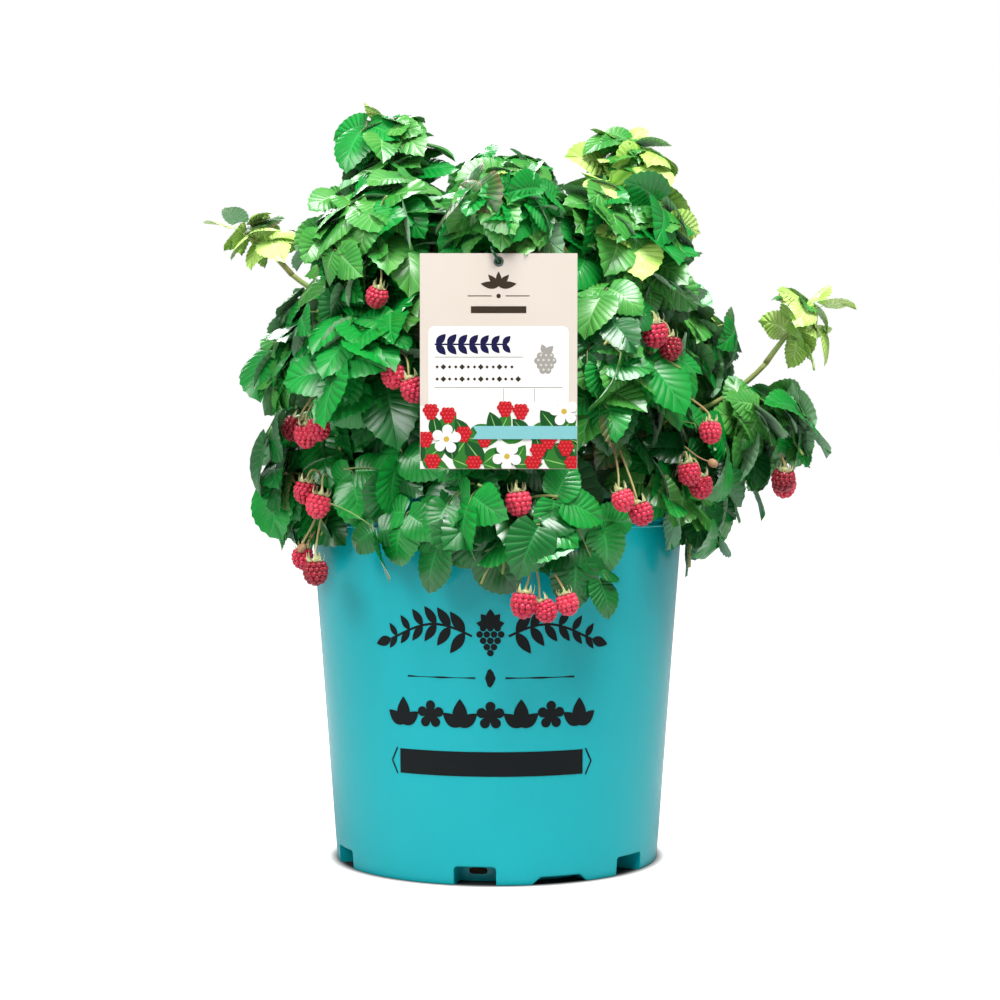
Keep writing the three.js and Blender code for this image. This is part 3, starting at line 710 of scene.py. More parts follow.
class Growth:
    """The bush worked out from its named sizes by the rule of its solids, and carried on to finer twigs.

    Masses of leaves stand in rings round the pot and one by one above it. Eight canes end in the highest,
    and a bough leaves the nearest cane for each of the others. Leaves turn round a stem by the golden angle;
    one that would leave its mass's room, or touch a limb, the label, the pot or the view of a berry, is
    tried again.
    """

    # name, count, first bearing, out, up, how far the front sags, pitch, reach, room, leaf
    RINGS = [
        ("skirt", 6, 4, 114, 250, 18, -38, 36, 58, 1.0),
        ("waist", 5, -38, 103, 310, 0, 34, 42, 68, 1.0),
        ("upper", 4, 45, 90, 372, 0, 52, 42, 66, 0.9),
    ]
    # name, bearing, out, up, pitch, reach, room, leaf
    SINGLES = [
        ("tower_left", -92, 66, 432, 80, 42, 46, 0.8),
        ("tower_right", 88, 77, 422, 76, 38, 45, 0.8),
        ("crown_front", 6, 40, 402, 70, 32, 46, 0.85),
        ("crown_back", 176, 62, 410, 70, 36, 54, 0.9),
        ("brow", 2, 122, 392, 58, 26, 42, 0.85),
        ("shoot_left", -86, 148, 388, 40, 22, 28, 0.58),
        ("shoot_right", 86, 188, 335, 48, 24, 30, 0.6),
        ("spray_right", 84, 162, 270, 4, 30, 46, 0.85),
    ]
    # the mass that the cane ends in, and the bearing of its foot
    CANES = [
        ("tower_left", -90), ("upper_3", -48), ("crown_front", -4), ("upper_0", 42),
        ("tower_right", 88), ("upper_1", 135), ("crown_back", 178), ("upper_2", -136),
    ]
    # bearing, out, up and number of berries
    TRUSSES = [
        (-31, 138, 354, 1), (-22, 146, 309, 2), (-50, 150, 280, 3), (-48, 150, 240, 2),
        (-49, 150, 200, 2), (5, 144, 233, 1), (11, 148, 178, 3), (41, 150, 334, 2),
        (56, 156, 274, 1), (53, 150, 251, 2), (32, 150, 236, 2), (80, 184, 248, 3),
    ]
    BACK_TRUSSES = 4
    # bearing, out, up and scale
    HANGING = [
        (-25, 133, 262, 0.72), (-29, 128, 250, 0.62), (-23, 136, 226, 0.66), (-31, 139, 216, 0.6),
        (-13, 139, 214, 0.7), (19, 141, 206, 0.74), (26, 138, 222, 0.66), (24, 143, 192, 0.55),
        (-41, 132, 250, 0.7), (-59, 160, 277, 0.85),
    ]
    TRIES, FINE_TRIES, TWIG_TRIES = 30, 16, 10
    ROOM_PER_LEAF = 5.35
    ROOM_PER_TWIG = 3.8
    LEAVES_PER_TWIG = 5
    BLEND = 14.0
    INSIDE = 0.9
    SLENDER = ("tower", "shoot")
    TWIG_SHARES = {"tower": 0.75, "shoot": 0.0}
    CANE_RING = 30.0
    CANE_RADII, BOUGH_RADII, STEM_RADII, TWIG_RADII = (4.2, 2.0), (2.0, 1.6), (2.0, 1.2), (1.3, 0.8)
    STALK_RADIUS, TIE_RADIUS = 0.6, 0.8
    VIEW_RADIUS, VIEW_BEHIND, VIEW_AHEAD = 10, 10, 34

    def __init__(self) -> None:
        """Plans the masses, the limbs, the fruit and then the leaves."""
        self.masses = self.plan_masses()
        self.named = {m.name: m for m in self.masses}
        self.canes = [self.plan_cane(self.named[end], foot) for end, foot in self.CANES]
        ends = {end for end, _ in self.CANES}
        used = [0] * len(self.canes)
        self.boughs = {m.name: self.plan_bough(m, used) for m in self.masses if m.name not in ends}
        self.berries = self.plan_berries()
        self.tie = self.plan_tie()
        thin = (self.STALK_RADIUS, self.STALK_RADIUS)
        stalks = [Limb(np.stack(ends), *thin) for b in self.berries for ends in self.stretches(b)]
        tie_spots = np.column_stack([self.tie, np.full(len(self.tie), self.TIE_RADIUS)])
        limbs = [limb.spots() for limb in [*self.canes, *self.boughs.values(), *stalks]]
        self.spots = np.vstack([*limbs, tie_spots])
        self.near = [self.spots_near(mass) for mass in self.masses]
        self.planes = [self.planes_round(mass) for mass in self.masses]
        self.twigs: list[Limb] = []
        self.leaves: list[Leaf] = []
        for mass in self.masses:
            self.plan_leaves(mass)
        self.leaves += [self.plan_hanging(*row) for row in self.HANGING]
        for mass in self.masses:
            if mass.name.startswith(self.SLENDER):
                self.plan_tip(mass)
        LOG.info("%d leaves, %d twigs, %d berries", len(self.leaves), len(self.twigs), len(self.berries))

    def plan_masses(self) -> list[Mass]:
        """The masses in order: each ring evenly spaced, its front sagging, and then the single ones.

        Returns:
            The masses.
        """
        rows = []
        for name, count, first, out, up, sag, pitch, reach, room, leaf in self.RINGS:
            for i in range(count):
                bearing = first + 360 / count * i
                down = sag * max(0.0, math.cos(math.radians(bearing)))
                rows.append((f"{name}_{i}", bearing, out, up - down, pitch, reach, room, leaf))
        rows += self.SINGLES
        return [Mass(row[0], number, *row[1:]) for number, row in enumerate(rows)]

    @staticmethod
    def plan_cane(mass: Mass, foot: float) -> Limb:
        """A cane from the soil, upright, to the foot of its mass, which it meets in line.

        Args:
            mass: the mass that it ends in.
            foot: the bearing of its foot.

        Returns:
            The cane, with a flare at its foot.
        """
        start = around(foot, Growth.CANE_RING, SOIL_LEVEL + SOIL_CROWN - 4)
        end = mass.stem[0]
        half = (end[2] - start[2]) / 2
        curve = np.stack([start, start + UP * half, end - mass.grow * half, end])
        return Limb(curve, *Growth.CANE_RADII, flare=1.5)

    def plan_bough(self, mass: Mass, used: list[int]) -> Limb:
        """A bough to the foot of a mass, from the cane nearest in bearing of those that rise high enough.

        Args:
            mass: the mass that it carries.
            used: how many boughs have left each cane, which this one adds to.

        Returns:
            The bough.
        """
        foot = mass.stem[0]
        turns = [
            (abs((mass.bearing - self.named[end].bearing + 540) % 360 - 180), i)
            for i, (end, _) in enumerate(self.CANES)
            if self.canes[i].curve[-1][2] > foot[2] - 10
        ]
        number = min(turns)[1]
        cane = self.canes[number]
        drop = max(28.0, float(np.linalg.norm(foot - cane.curve[-1])) * 0.35)
        leave = max(SOIL_LEVEL + 18 + 12 * used[number], foot[2] - drop)
        used[number] += 1
        steps = cane.points(51)
        at = min(int((steps[:, 2] < leave).argmin()), 46)
        start = steps[at]
        bend = foot - mass.grow * np.linalg.norm(foot - start) * 0.45
        return Limb(np.stack([start, bend, foot]), *self.BOUGH_RADII)

    def plan_berries(self) -> list[Berry]:
        """Every truss's berries, hung from the mass in whose room it is; a rule adds those at the back.

        Returns:
            The berries.
        """
        rows = list(self.TRUSSES)
        for i in range(self.BACK_TRUSSES):
            out, up = 140 + 6 * chance(i + 1, 5, 3), 215 + 115 * chance(i + 1, 7, 2)
            rows.append((118 + 36 * i, out, up, 1 + int(3 * chance(i + 1, 4, 9))))
        berries = []
        for number, (bearing, out, up, count) in enumerate(rows):
            hang = around(bearing, out - 6, up + 14)
            mass = min(self.masses, key=lambda m: np.linalg.norm(hang - m.centre) / m.room)
            spots = bezier(mass.stem, 0.25 + 0.06 * np.arange(12))
            nearest = spots[np.argsort(np.linalg.norm(spots - hang, axis=1), kind="stable")]
            aside = around(bearing + 90, 1, 0)
            for i in range(count):
                place = i - (count - 1) / 2
                drop = abs(place) * 4 + (i % 2) * 8
                centre = around(bearing, out, up - drop) + aside * place * 13
                front = np.array([0.0, -1.0, 0.0]) if number < len(self.TRUSSES) else 0.0
                view = unit(self.outward(centre) + front)
                berries.append(Berry(mass.number, nearest[i * 2], hang + aside * place * 4, centre, view))
        return berries

    @staticmethod
    def stretches(berry: Berry) -> list[tuple[Array, Array]]:
        """The two stretches of a berry's stalk that leaves keep off."""
        return [(berry.joint + (berry.hang - berry.joint) * 0.3, berry.hang), (berry.hang, berry.centre)]

    def plan_tie(self) -> Array:
        """The loop tie: a closed smooth curve through the eyelet, over the card's top edge and round a bough.

        Between two knots it is a Bezier curve whose ends run along the line of the knots on either side.

        Returns:
            Its points in order.
        """
        bough = self.boughs["brow"]
        grip = bezier(bough.curve, [0.97])[0]
        reach = bough.radii(101)[97] + 2 * self.TIE_RADIUS
        x, z = CARD_MIDDLE, CARD_TOP - EYELET_DROP
        low = [[x, CARD_FRONT, z], [x - 1.2, CARD_FRONT - 2.4, z + 2]]
        over = [[x - 3.6, CARD_FRONT - 1.8, CARD_TOP + 1.4], [x - 3.6, CARD_FRONT + 2.5, CARD_TOP + 2.6]]
        turns = [[-1, -4, 0.4], [-0.6, 1, 1], [0.6, 1, 1], [1, -1, 0], [0.5, -4, -1]]
        hitch = [grip + [reach * a, b, reach * c] for a, b, c in turns]
        knots = np.array([*low, *over, *hitch, [x + 0.4, CARD_FRONT + 3.4, z - 0.6]])
        before, after, later = (np.roll(knots, k, 0) for k in (1, -1, -2))
        controls = [knots, knots + (after - before) / 6, after - (later - knots) / 6, after]
        controls = np.stack(controls, 1)
        return bezier(controls, np.arange(8) / 8).reshape(-1, 3)

    @staticmethod
    def outward(point: Array) -> Array:
        """The way out of the crown at a point."""
        return unit((point - [0, 0, HEART_UP]) * [1, 1, HEART_SQUASH])

    def is_clear(self, points: Array, mass: Mass, finer: bool = False) -> bool:
        """Whether points all lie in a mass's own room and clear of the pot, the label and every limb.

        Args:
            points: the points.
            mass: the mass.
            finer: for finer growth, which stays farther in but may stand a little into a neighbour's room.

        Returns:
            Whether they do.
        """
        away = points - mass.centre
        reach, over = (self.INSIDE, self.BLEND) if finer else (1.0, 0.0)
        ways, walls = self.planes[mass.number]
        if (np.linalg.norm(away, axis=1) > mass.room * REACH * reach).any():
            return False
        if (away @ ways.T > walls + over).any():
            return False
        x, y, z = points.T
        if ((z < POT_HEIGHT + 3.5) & (np.hypot(x, y) < LIP_RADIUS + 3)).any():
            return False
        level = (z < CARD_TOP + 3) & (z > CARD_LOW - 4)
        if ((np.abs(x - CARD_MIDDLE) < CARD_WIDTH / 2 + 3.5) & level & (y < CARD_FRONT + 7)).any():
            return False
        near = self.near[mass.number]
        apart = np.linalg.norm(points[:, None] - near[None, :, :3], axis=2)
        return bool((apart > near[:, 3] + LIMB_ROOM).all())

    def spots_near(self, mass: Mass) -> Array:
        """The limb spots that a mass's leaves could touch."""
        return self.spots[np.linalg.norm(self.spots[:, :3] - mass.centre, axis=1) < mass.room * REACH + 12]

    def planes_round(self, mass: Mass) -> tuple[Array, Array]:
        """The way to each other mass, and how far that way its own room goes: the gap, shared by their rooms.

        Args:
            mass: the mass.

        Returns:
            n x 3 ways and n distances.
        """
        others = [m for m in self.masses if m is not mass]
        between = np.stack([m.centre for m in others]) - mass.centre
        gaps = np.linalg.norm(between, axis=1)
        rooms = np.array([m.room for m in others])
        return between / gaps[:, None], gaps * mass.room / (mass.room + rooms) - CELL_ROOM

    def hides_berry(self, points: Array) -> bool:
        """Whether any point lies in the short round view that each berry has out of the crown.

        Args:
            points: n x 3 points.

        Returns:
            Whether one does.
        """
        centres = np.stack([b.centre for b in self.berries])
        views = np.stack([b.view for b in self.berries])
        away = points[:, None] - centres
        along = (away * views).sum(-1)
        aside = np.sqrt(np.maximum(0, (away**2).sum(-1) - along**2))
        level = (along > -self.VIEW_BEHIND) & (along < self.VIEW_AHEAD)
        return bool(((aside < self.VIEW_RADIUS) & level).any())

    def plan_leaf(
        self, mass: Mass, stem: Limb, keys: tuple[float, float, int], at: float, finer: bool
    ) -> Leaf | None:
        """Tries one leaf.

        The stalk leans from the way out towards a fan that turns by the golden angle. The face looks out and
        up, and the blades hang along the fan and down.

        Args:
            mass: the mass that it belongs to.
            stem: what it grows from.
            keys: two keys of its own and the number of this try.
            at: how far along the stem it stands.
            finer: whether it stands on a finer twig.

        Returns:
            The leaf with the blades that find room, or None.
        """
        first, second, attempt = keys

        def draw(n: int) -> float:
            """The leaf's nth number from 0 to 1."""
            return chance(first, second, attempt * 7 + n)

        joint = bezier(stem.curve, [at])[0]
        out = self.outward(joint)
        aside = unit(np.cross(UP, out))
        above = np.cross(out, aside)
        turns = GOLDEN_TURN * (second - 1 + attempt * RETRY_TURN)
        spin = math.radians(turns + 360 * chance(mass.number, 3, 5))
        fan = aside * math.cos(spin) + above * math.sin(spin)
        lean = math.radians((16 + 84 * draw(1)) if finer else (34 + 44 * draw(1)))
        stalk = unit(out * math.cos(lean) + fan * math.sin(lean) + UP * 0.18)
        size = mass.leaf * (1 - 0.15 * at) * (0.88 + 0.24 * draw(2))
        size *= (0.72 + 0.28 * draw(6)) if finer else 1
        if finer and mass.name.startswith(self.SLENDER):
            size *= 1 - 0.4 * np.clip((joint - mass.stem[0]) @ mass.grow / mass.reach / 1.8, 0, 1)
        fork = joint + stalk * size * ((9 + 18 * draw(3)) if finer else (14 + 22 * draw(3)))
        face = unit(out * 0.62 + UP * 0.5 + fan * 0.35 * draw(4) + aside * 1.5 * (draw(5) - 0.5))
        if finer:
            face = unit(face + above * 1.1 * (draw(7) - 0.5))
        hang = fan * 0.75 - UP * 0.62 + out * 0.25
        along = unit(hang - (hang @ face) * face)
        if along @ stalk < 0.1:
            return None
        if not self.is_clear(np.stack([(joint + fork) / 2, fork]), mass, finer):
            return None
        leaf = Leaf(mass.number, joint, fork, along, face, size, [], at, finer)
        for turn in Blade.TURNS:
            corners = Blade.corners(leaf, turn)
            spots = Blade.probes(corners)
            if not self.is_clear(spots, mass, finer) or self.hides_berry(spots):
                continue
            if (not finer or attempt < 10) and self.crosses(corners):
                continue
            leaf.turns.append(turn)
        wanted = 3 if attempt < self.TRIES // 2 else 2
        return leaf if len(leaf.turns) >= wanted else None

    def plan_hanging(self, bearing: float, out: float, up: float, size: float) -> Leaf:
        """A leaf that hangs over the rim from the nearest twig, its three blades facing out and down.

        Args:
            bearing: where its fork is round the pot.
            out: how far from the axis.
            up: how high.
            size: its scale.

        Returns:
            The leaf.
        """
        fork = around(bearing, out, up)
        twig = min(self.twigs, key=lambda t: np.linalg.norm(t.curve[-1] - fork))
        outward = around(bearing, 1, 0)
        sway = around(bearing + 90, 1, 0) * (chance(up, out, 3) - 0.5)
        face = unit(outward + 0.35 * UP + 0.5 * sway)
        hang = sway * 0.9 - UP
        along = unit(hang - (hang @ face) * face)
        mass = min(self.masses, key=lambda m: np.linalg.norm(m.centre - fork))
        return Leaf(mass.number, twig.curve[-1], fork, along, face, size, list(Blade.TURNS), 1.0, True)

    def plan_tip(self, mass: Mass) -> None:
        """Grows the tip of a slender mass: a short shoot past its stem, with small leaves up and out.

        Args:
            mass: the mass.
        """
        foot = mass.stem[2]
        tip = foot + UP * mass.reach * 0.1
        shoot = Limb(np.stack([foot, (foot + tip) / 2 - UP, tip]), 1.2, 0.8)
        self.twigs.append(shoot)
        tower = mass.name.startswith("tower")
        for i in range(5 if tower else 3):
            out = around(mass.bearing + 60 + GOLDEN_TURN * i, 1, 0)
            joint = shoot.points(9)[8 - i]
            along = unit(out * 0.8 + UP * (0.75 - 0.22 * i))
            face = unit(UP - (UP @ along) * along)
            size = mass.leaf * ((0.5 if tower else 0.72) + 0.06 * i)
            turns = list(Blade.TURNS) if i % 2 else [0.0]
            fork = joint + along * 4
            self.leaves.append(Leaf(mass.number, joint, fork, along, face, size, turns, 1.0, True))

    def crosses(self, corners: Array) -> bool:
        """Whether a blade goes through a blade already in its mass.

        Args:
            corners: its base, left, tip and right corners.

        Returns:
            Whether it does.
        """
        if not self.taken:
            return False
        others = np.stack(self.taken)

        def meets(edges: tuple[Array, Array], flats: Array) -> bool:
            """Whether any edge goes through either half of any blade, by signed volumes.

            Args:
                edges: the starts and the ends of the edges.
                flats: n x 4 corners of blades.

            Returns:
                Whether one does.
            """
            start, end = (e[:, None] for e in edges)
            for a, b, c in ((0, 1, 2), (0, 2, 3)):
                p, q, r = (flats[None, :, i] for i in (a, b, c))
                normal = np.cross(q - p, r - p)
                one, two = ((start - p) * normal).sum(-1), ((end - p) * normal).sum(-1)
                way = end - start
                around_it = ((p, q), (q, r), (r, p))
                sides = [np.sign((np.cross(way, y - x) * (x - start)).sum(-1)) for x, y in around_it]
                inside = (sides[0] == sides[1]) & (sides[1] == sides[2])
                if ((one * two < 0) & inside).any():
                    return True
            return False

        near = others[np.linalg.norm(others[:, 2] - corners[2], axis=1) < 90]
        if not len(near):
            return False
        mine = (corners, np.roll(corners, -1, 0))
        theirs = (near.reshape(-1, 3), np.roll(near, -1, 1).reshape(-1, 3))
        return meets(mine, near) or meets(theirs, corners[None])

    def plan_leaves(self, mass: Mass) -> None:
        """Grows a mass: leaves on its stem as in the solids, then finer twigs with smaller leaves between.

        Args:
            mass: the mass.
        """
        self.taken: list[Array] = []
        stem = Limb(mass.stem, *self.STEM_RADII)
        count = round(mass.room / self.ROOM_PER_LEAF)
        for index in range(count):
            at = 0.14 + 0.86 * (index + 0.5) / count
            self.grow_leaf(mass, stem, mass.number + 1, index + 1, at, False)
        share = self.TWIG_SHARES.get(mass.name.split("_")[0], 1.0)
        twigs = round(mass.room / self.ROOM_PER_TWIG * share)
        for index in range(twigs):
            twig = self.plan_twig(mass, stem, index, twigs)
            if twig is None:
                continue
            self.twigs.append(twig)
            for place in range(self.LEAVES_PER_TWIG):
                key = 31 + index * self.LEAVES_PER_TWIG + place
                self.grow_leaf(mass, twig, mass.number + 1, key, 1 - 0.19 * place, True)

    def grow_leaf(self, mass: Mass, stem: Limb, first: float, second: float, at: float, finer: bool) -> None:
        """Keeps the first of a leaf's tries that fits.

        Args:
            mass: the mass that it belongs to.
            stem: what it grows from.
            first: its first key.
            second: its second key.
            at: how far along the stem it stands.
            finer: whether it stands on a finer twig.
        """
        for attempt in range(self.FINE_TRIES if finer else self.TRIES):
            leaf = self.plan_leaf(mass, stem, (first, second, attempt), at, finer)
            if leaf is not None:
                self.leaves.append(leaf)
                self.taken += [Blade.corners(leaf, turn) for turn in leaf.turns]
                return

    def plan_twig(self, mass: Mass, stem: Limb, index: int, count: int) -> Limb | None:
        """A finer twig: it leaves the stem by the leaves' own rule and runs most of the way out of the room.

        Args:
            mass: the mass that it belongs to.
            stem: the mass's stem.
            index: which twig.
            count: how many the mass has.

        Returns:
            The twig, or None where it finds no room.
        """
        at = 0.1 + 0.85 * (index + 0.5) / count
        length = mass.room * (1 - (0.5 * at if mass.name.startswith(self.SLENDER) else 0))
        joint = bezier(stem.curve, [at])[0]
        out = self.outward(joint)
        aside = unit(np.cross(UP, out))
        above = np.cross(out, aside)
        for attempt in range(self.TWIG_TRIES):
            turns = GOLDEN_TURN * (index * 1.7 + attempt * RETRY_TURN)
            spin = math.radians(turns + 360 * chance(mass.number, 8, 2))
            fan = aside * math.cos(spin) + above * math.sin(spin)
            lean = math.radians(48 + 32 * chance(mass.number + 2, index, attempt))
            way = unit(out * math.cos(lean) + fan * math.sin(lean) + UP * 0.1)
            tip = joint + way * length * (0.62 - 0.03 * attempt)
            curve = np.stack([joint, (joint + tip) / 2 + UP * 4, tip - UP * 3])
            if self.is_clear(bezier(curve, [0.35, 0.6, 0.8, 1.0]), mass, True):
                return Limb(curve, *self.TWIG_RADII)
        return None


# ---------------------------------------------------------------- leaves, wood and fruit


class Blade:
    """One blade of a compound leaf: ovate, toothed, quilted, thin, and notched at its base.

    Its grid has a row for each pair of side veins. A row leaves the midrib at s = 1 - sqrt(1 - m) of the
    length and meets the margin at m, and the margin's half width is m^0.42 (1 - m)^0.85 scaled to 1. The
    margin has a tooth at the end of each vein and a notch between. Between two veins the blade stands up to
    one corner, a quilt's top, and creases run along the veins. The underside has one line of corners, its
    keel, under the midrib.
    """

    LENGTH, WIDTH = 46.0, 40.0
    ROWS = 8
    TURNS = (-78.0, 0.0, 78.0)
    SIDE, RACHIS, PETIOLULE = 0.86, 9.0, 1.5
    MIDDLE, QUILT, LOBE = 0.52, 0.7, 0.15
    TOOTH, NOTCH, POINT, BODY = 0.75, -0.45, 1.2, 0.6
    PEAK = 0.331**0.42 * 0.669**0.85
    KEEL = (2, 4, 6)

    def __init__(self) -> None:
        """Lays out the corners once: the midrib, the quilts, the margin, its two ends, and the keel."""
        rows = np.arange(1, self.ROWS) / self.ROWS
        mids = (np.arange(self.ROWS) + 0.5) / self.ROWS
        midrib = [(0.0, m, i + 1, 0.0) for i, m in enumerate(rows)]
        quilts = [(u, m, i + 0.5, 0.0) for u in (-self.MIDDLE, self.MIDDLE) for i, m in enumerate(mids)]
        margin = [(u, m, i + 1, self.TOOTH) for u in (-1.0, 1.0) for i, m in enumerate(rows)]
        between = [(u, m, i + 0.5, self.NOTCH) for u in (-1.0, 1.0) for i, m in enumerate(mids)]
        ends = [(0.0, 0.0, 0.0, 0.0), (0.0, 1.0, float(self.ROWS), self.POINT)]
        keel = [(0.0, i / self.ROWS, i, 0.0) for i in self.KEEL]
        table = np.array(midrib + quilts + margin + between + ends + keel)
        self.u, self.m, self.row, self.tooth = table.T
        self.lower = np.arange(len(table)) >= len(table) - len(keel)
        self.quilt = np.isin(np.abs(self.u), self.MIDDLE) * self.QUILT * self.half_width(self.m)
        self.rim = ~self.lower & (self.quilt == 0)
        self.triangles, self.slots = self.stitch(len(rows))

    def stitch(self, rows: int) -> tuple[Array, Array]:
        """Joins the corners: on top, each quilt's corner to all that are round it, and below, to the keel.

        Args:
            rows: how many full rows.

        Returns:
            Triangles and, for each, 1 on the underside and 0 on the top.
        """
        first_edge = rows + 2 * self.ROWS
        base = first_edge + 2 * rows + 2 * self.ROWS
        tip, keel = base + 1, base + 2
        column = np.concatenate([[base], np.arange(rows), [tip]])
        tops, unders = [], []
        for side in (0, 1):
            quilt = rows + side * self.ROWS + np.arange(self.ROWS)
            edge = first_edge + side * rows + np.arange(rows)
            notch = first_edge + 2 * rows + side * self.ROWS + np.arange(self.ROWS)
            outer = np.concatenate([[base], edge, [tip]])
            round_it = [column[:-1], column[1:], outer[1:], notch, outer[:-1], column[:-1]]
            fans = np.stack([np.stack([quilt, p, q], 1) for p, q in zip(round_it, round_it[1:])])
            fans = fans.reshape(-1, 3)
            tops.append(fans[fans[:, 1] != fans[:, 2]])
            chain = np.concatenate([[base], np.stack([notch[:-1], edge], 1).ravel(), [notch[-1], tip]])
            at = np.clip(np.round((np.arange(len(chain) - 1) + 0.5) / 4).astype(int), 1, 3) + keel - 1
            step = np.nonzero(np.diff(at))[0] + 1
            unders.append(np.stack([chain[:-1], chain[1:], at], 1))
            unders.append(np.stack([at[step - 1], chain[step], at[step]], 1))
        top, under = np.vstack(tops), np.vstack(unders)
        x, y = self.u * self.half_width(self.m), self.along(self.u, self.m)

        def turned(faces: Array, sign: float) -> Array:
            """Turns faces the same way round, as seen from above.

            Args:
                faces: n x 3 numbers of corners.
                sign: 1 for leftwards, -1 for rightwards.

            Returns:
                The faces.
            """
            a, b, c = faces.T
            area = (x[b] - x[a]) * (y[c] - y[a]) - (x[c] - x[a]) * (y[b] - y[a])
            return np.where(area[:, None] * sign < 0, faces[:, ::-1], faces)

        triangles = np.vstack([turned(top, 1), turned(under, -1)])
        return triangles, np.repeat([0, 1], [len(top), len(under)])

    def half_width(self, m: Array) -> Array:
        """Half the blade's width at the margin's share m, from 0 to 1."""
        return m**0.42 * (1 - m) ** 0.85 / self.PEAK

    def along(self, u: Array, m: Array) -> Array:
        """How far along a corner lies: rows sweep forward to the margin, and the lowest lobes reach back."""
        s = 1 - np.sqrt(1 - m)
        return s + (m - s) * np.abs(u) ** 1.3 - self.LOBE * (1 - m) ** 6 * u**2

    @classmethod
    def corners(cls, leaf: Leaf, turn: float) -> Array:
        """A blade's flat outline for tests of room.

        Args:
            leaf: the leaf.
            turn: the blade's angle from the leaf's own line.

        Returns:
            Its base, left, tip and right corners.
        """
        angle = math.radians(turn)
        across = np.cross(leaf.along, leaf.face)
        way = leaf.along * math.cos(angle) + across * math.sin(angle)
        side = np.cross(way, leaf.face)
        size = leaf.size * (cls.SIDE if turn else 1)
        base = leaf.fork + way * (cls.PETIOLULE if turn else cls.RACHIS * leaf.size)
        middle = base + way * cls.LENGTH * size * 0.42
        half = side * cls.WIDTH * size / 2
        tip = base + way * cls.LENGTH * size - leaf.face * cls.LENGTH * size * 0.1
        return np.stack([base, middle - half, tip, middle + half])

    @staticmethod
    def probes(corners: Array) -> Array:
        """Points over the outline: its corners, the middles of its edges and its middle."""
        between = (corners + np.roll(corners, -1, 0)) / 2
        return np.vstack([corners[1:], between, corners.mean(0, keepdims=True)])

    def surface(self, leaves: list[Leaf], tones: Array) -> Surface:
        """All the blades of some leaves as one surface.

        In a blade's own axes, x is across, y along and z up from its face. The blade is folded a little along
        its midrib, its margin droops as x squared and waves, it twists along its length, and it bends down as
        an arc of a circle.

        Args:
            leaves: the leaves.
            tones: each leaf's material number.

        Returns:
            The blades, with their undersides in a slot of their own, except young blades, whose undersides
            keep the top colour as painted light.
        """
        rows = [(i, turn) for i, leaf in enumerate(leaves) for turn in leaf.turns]
        which = np.array([i for i, _ in rows])
        turn = np.radians([t for _, t in rows])[:, None]

        def take(name: str) -> Array:
            """One of the leaves' attributes, for every blade."""
            return np.array([getattr(leaf, name) for leaf in leaves])[which]

        rng = np.random.default_rng(11)

        def draw(low: float, high: float) -> Array:
            """A random number for every blade."""
            return rng.uniform(low, high, (len(rows), 1))

        along, face, fork, scale = take("along"), take("face"), take("fork"), take("size")
        across = np.cross(along, face)
        way = along * np.cos(turn) + across * np.sin(turn)
        lateral = turn[:, 0] != 0
        size = scale * np.where(lateral, self.SIDE, 1.0)
        base = fork + way * np.where(lateral, self.PETIOLULE, self.RACHIS * scale)[:, None]
        arch, fold, droop = draw(0.3, 1.25), draw(0.0, 0.3), draw(0.22, 0.5)
        twist, wave, phase = draw(-0.45, 0.45), draw(0.3, 1.6), draw(0, 6.3)
        roll = rng.normal(0, 0.24, (len(rows), 1)) + (draw(0, 1) > 0.95) * draw(1.0, 2.2)
        length, half = self.LENGTH * size[:, None], self.WIDTH * size[:, None] / 2
        teeth = self.tooth * np.sqrt(size)[:, None]
        x = self.u * self.half_width(self.m) * half + np.sign(self.u) * teeth * 0.8
        y = self.along(self.u, self.m) * length + teeth * 0.6
        z = fold * np.abs(x) - droop * x**2 / half * 0.6
        z = z + wave * np.sin(5 * y / length + phase) * self.u**2
        z = z + self.quilt * size[:, None] - np.where(self.lower, self.BODY, 0.0)
        turned = twist * y / length + roll
        x, z = x * np.cos(turned) - z * np.sin(turned), x * np.sin(turned) + z * np.cos(turned)
        bend, radius = arch * y / length, length / arch
        y, z = radius * np.sin(bend) + z * np.sin(bend), z * np.cos(bend) - radius * (1 - np.cos(bend))
        side = np.cross(way, face)
        local = np.stack([x, y, z], -1)
        points = base[:, None] + np.einsum("npi,nij->npj", local, np.stack([side, way, face], 1))
        step = (np.arange(len(rows)) * len(self.u))[:, None, None]
        faces = (self.triangles[None] + step).reshape(-1, 3)
        # Young blades keep their top colour underneath as well: painted light standing in for light shining
        # through them.
        felted_unless_young_painted_light = (self.slots[None] == 1) & (tones[which][:, None] != Tone.YOUNG.value)
        slots = np.where(felted_unless_young_painted_light, Tone.UNDERSIDE.value, tones[which][:, None]).reshape(-1)
        uv = np.tile(np.stack([self.u / 2 + 0.5, self.row / self.ROWS], 1), (len(rows), 1))
        rim = np.tile(self.rim, len(rows))
        return Surface(points.reshape(-1, 3), [faces], [slots], uv, rim)


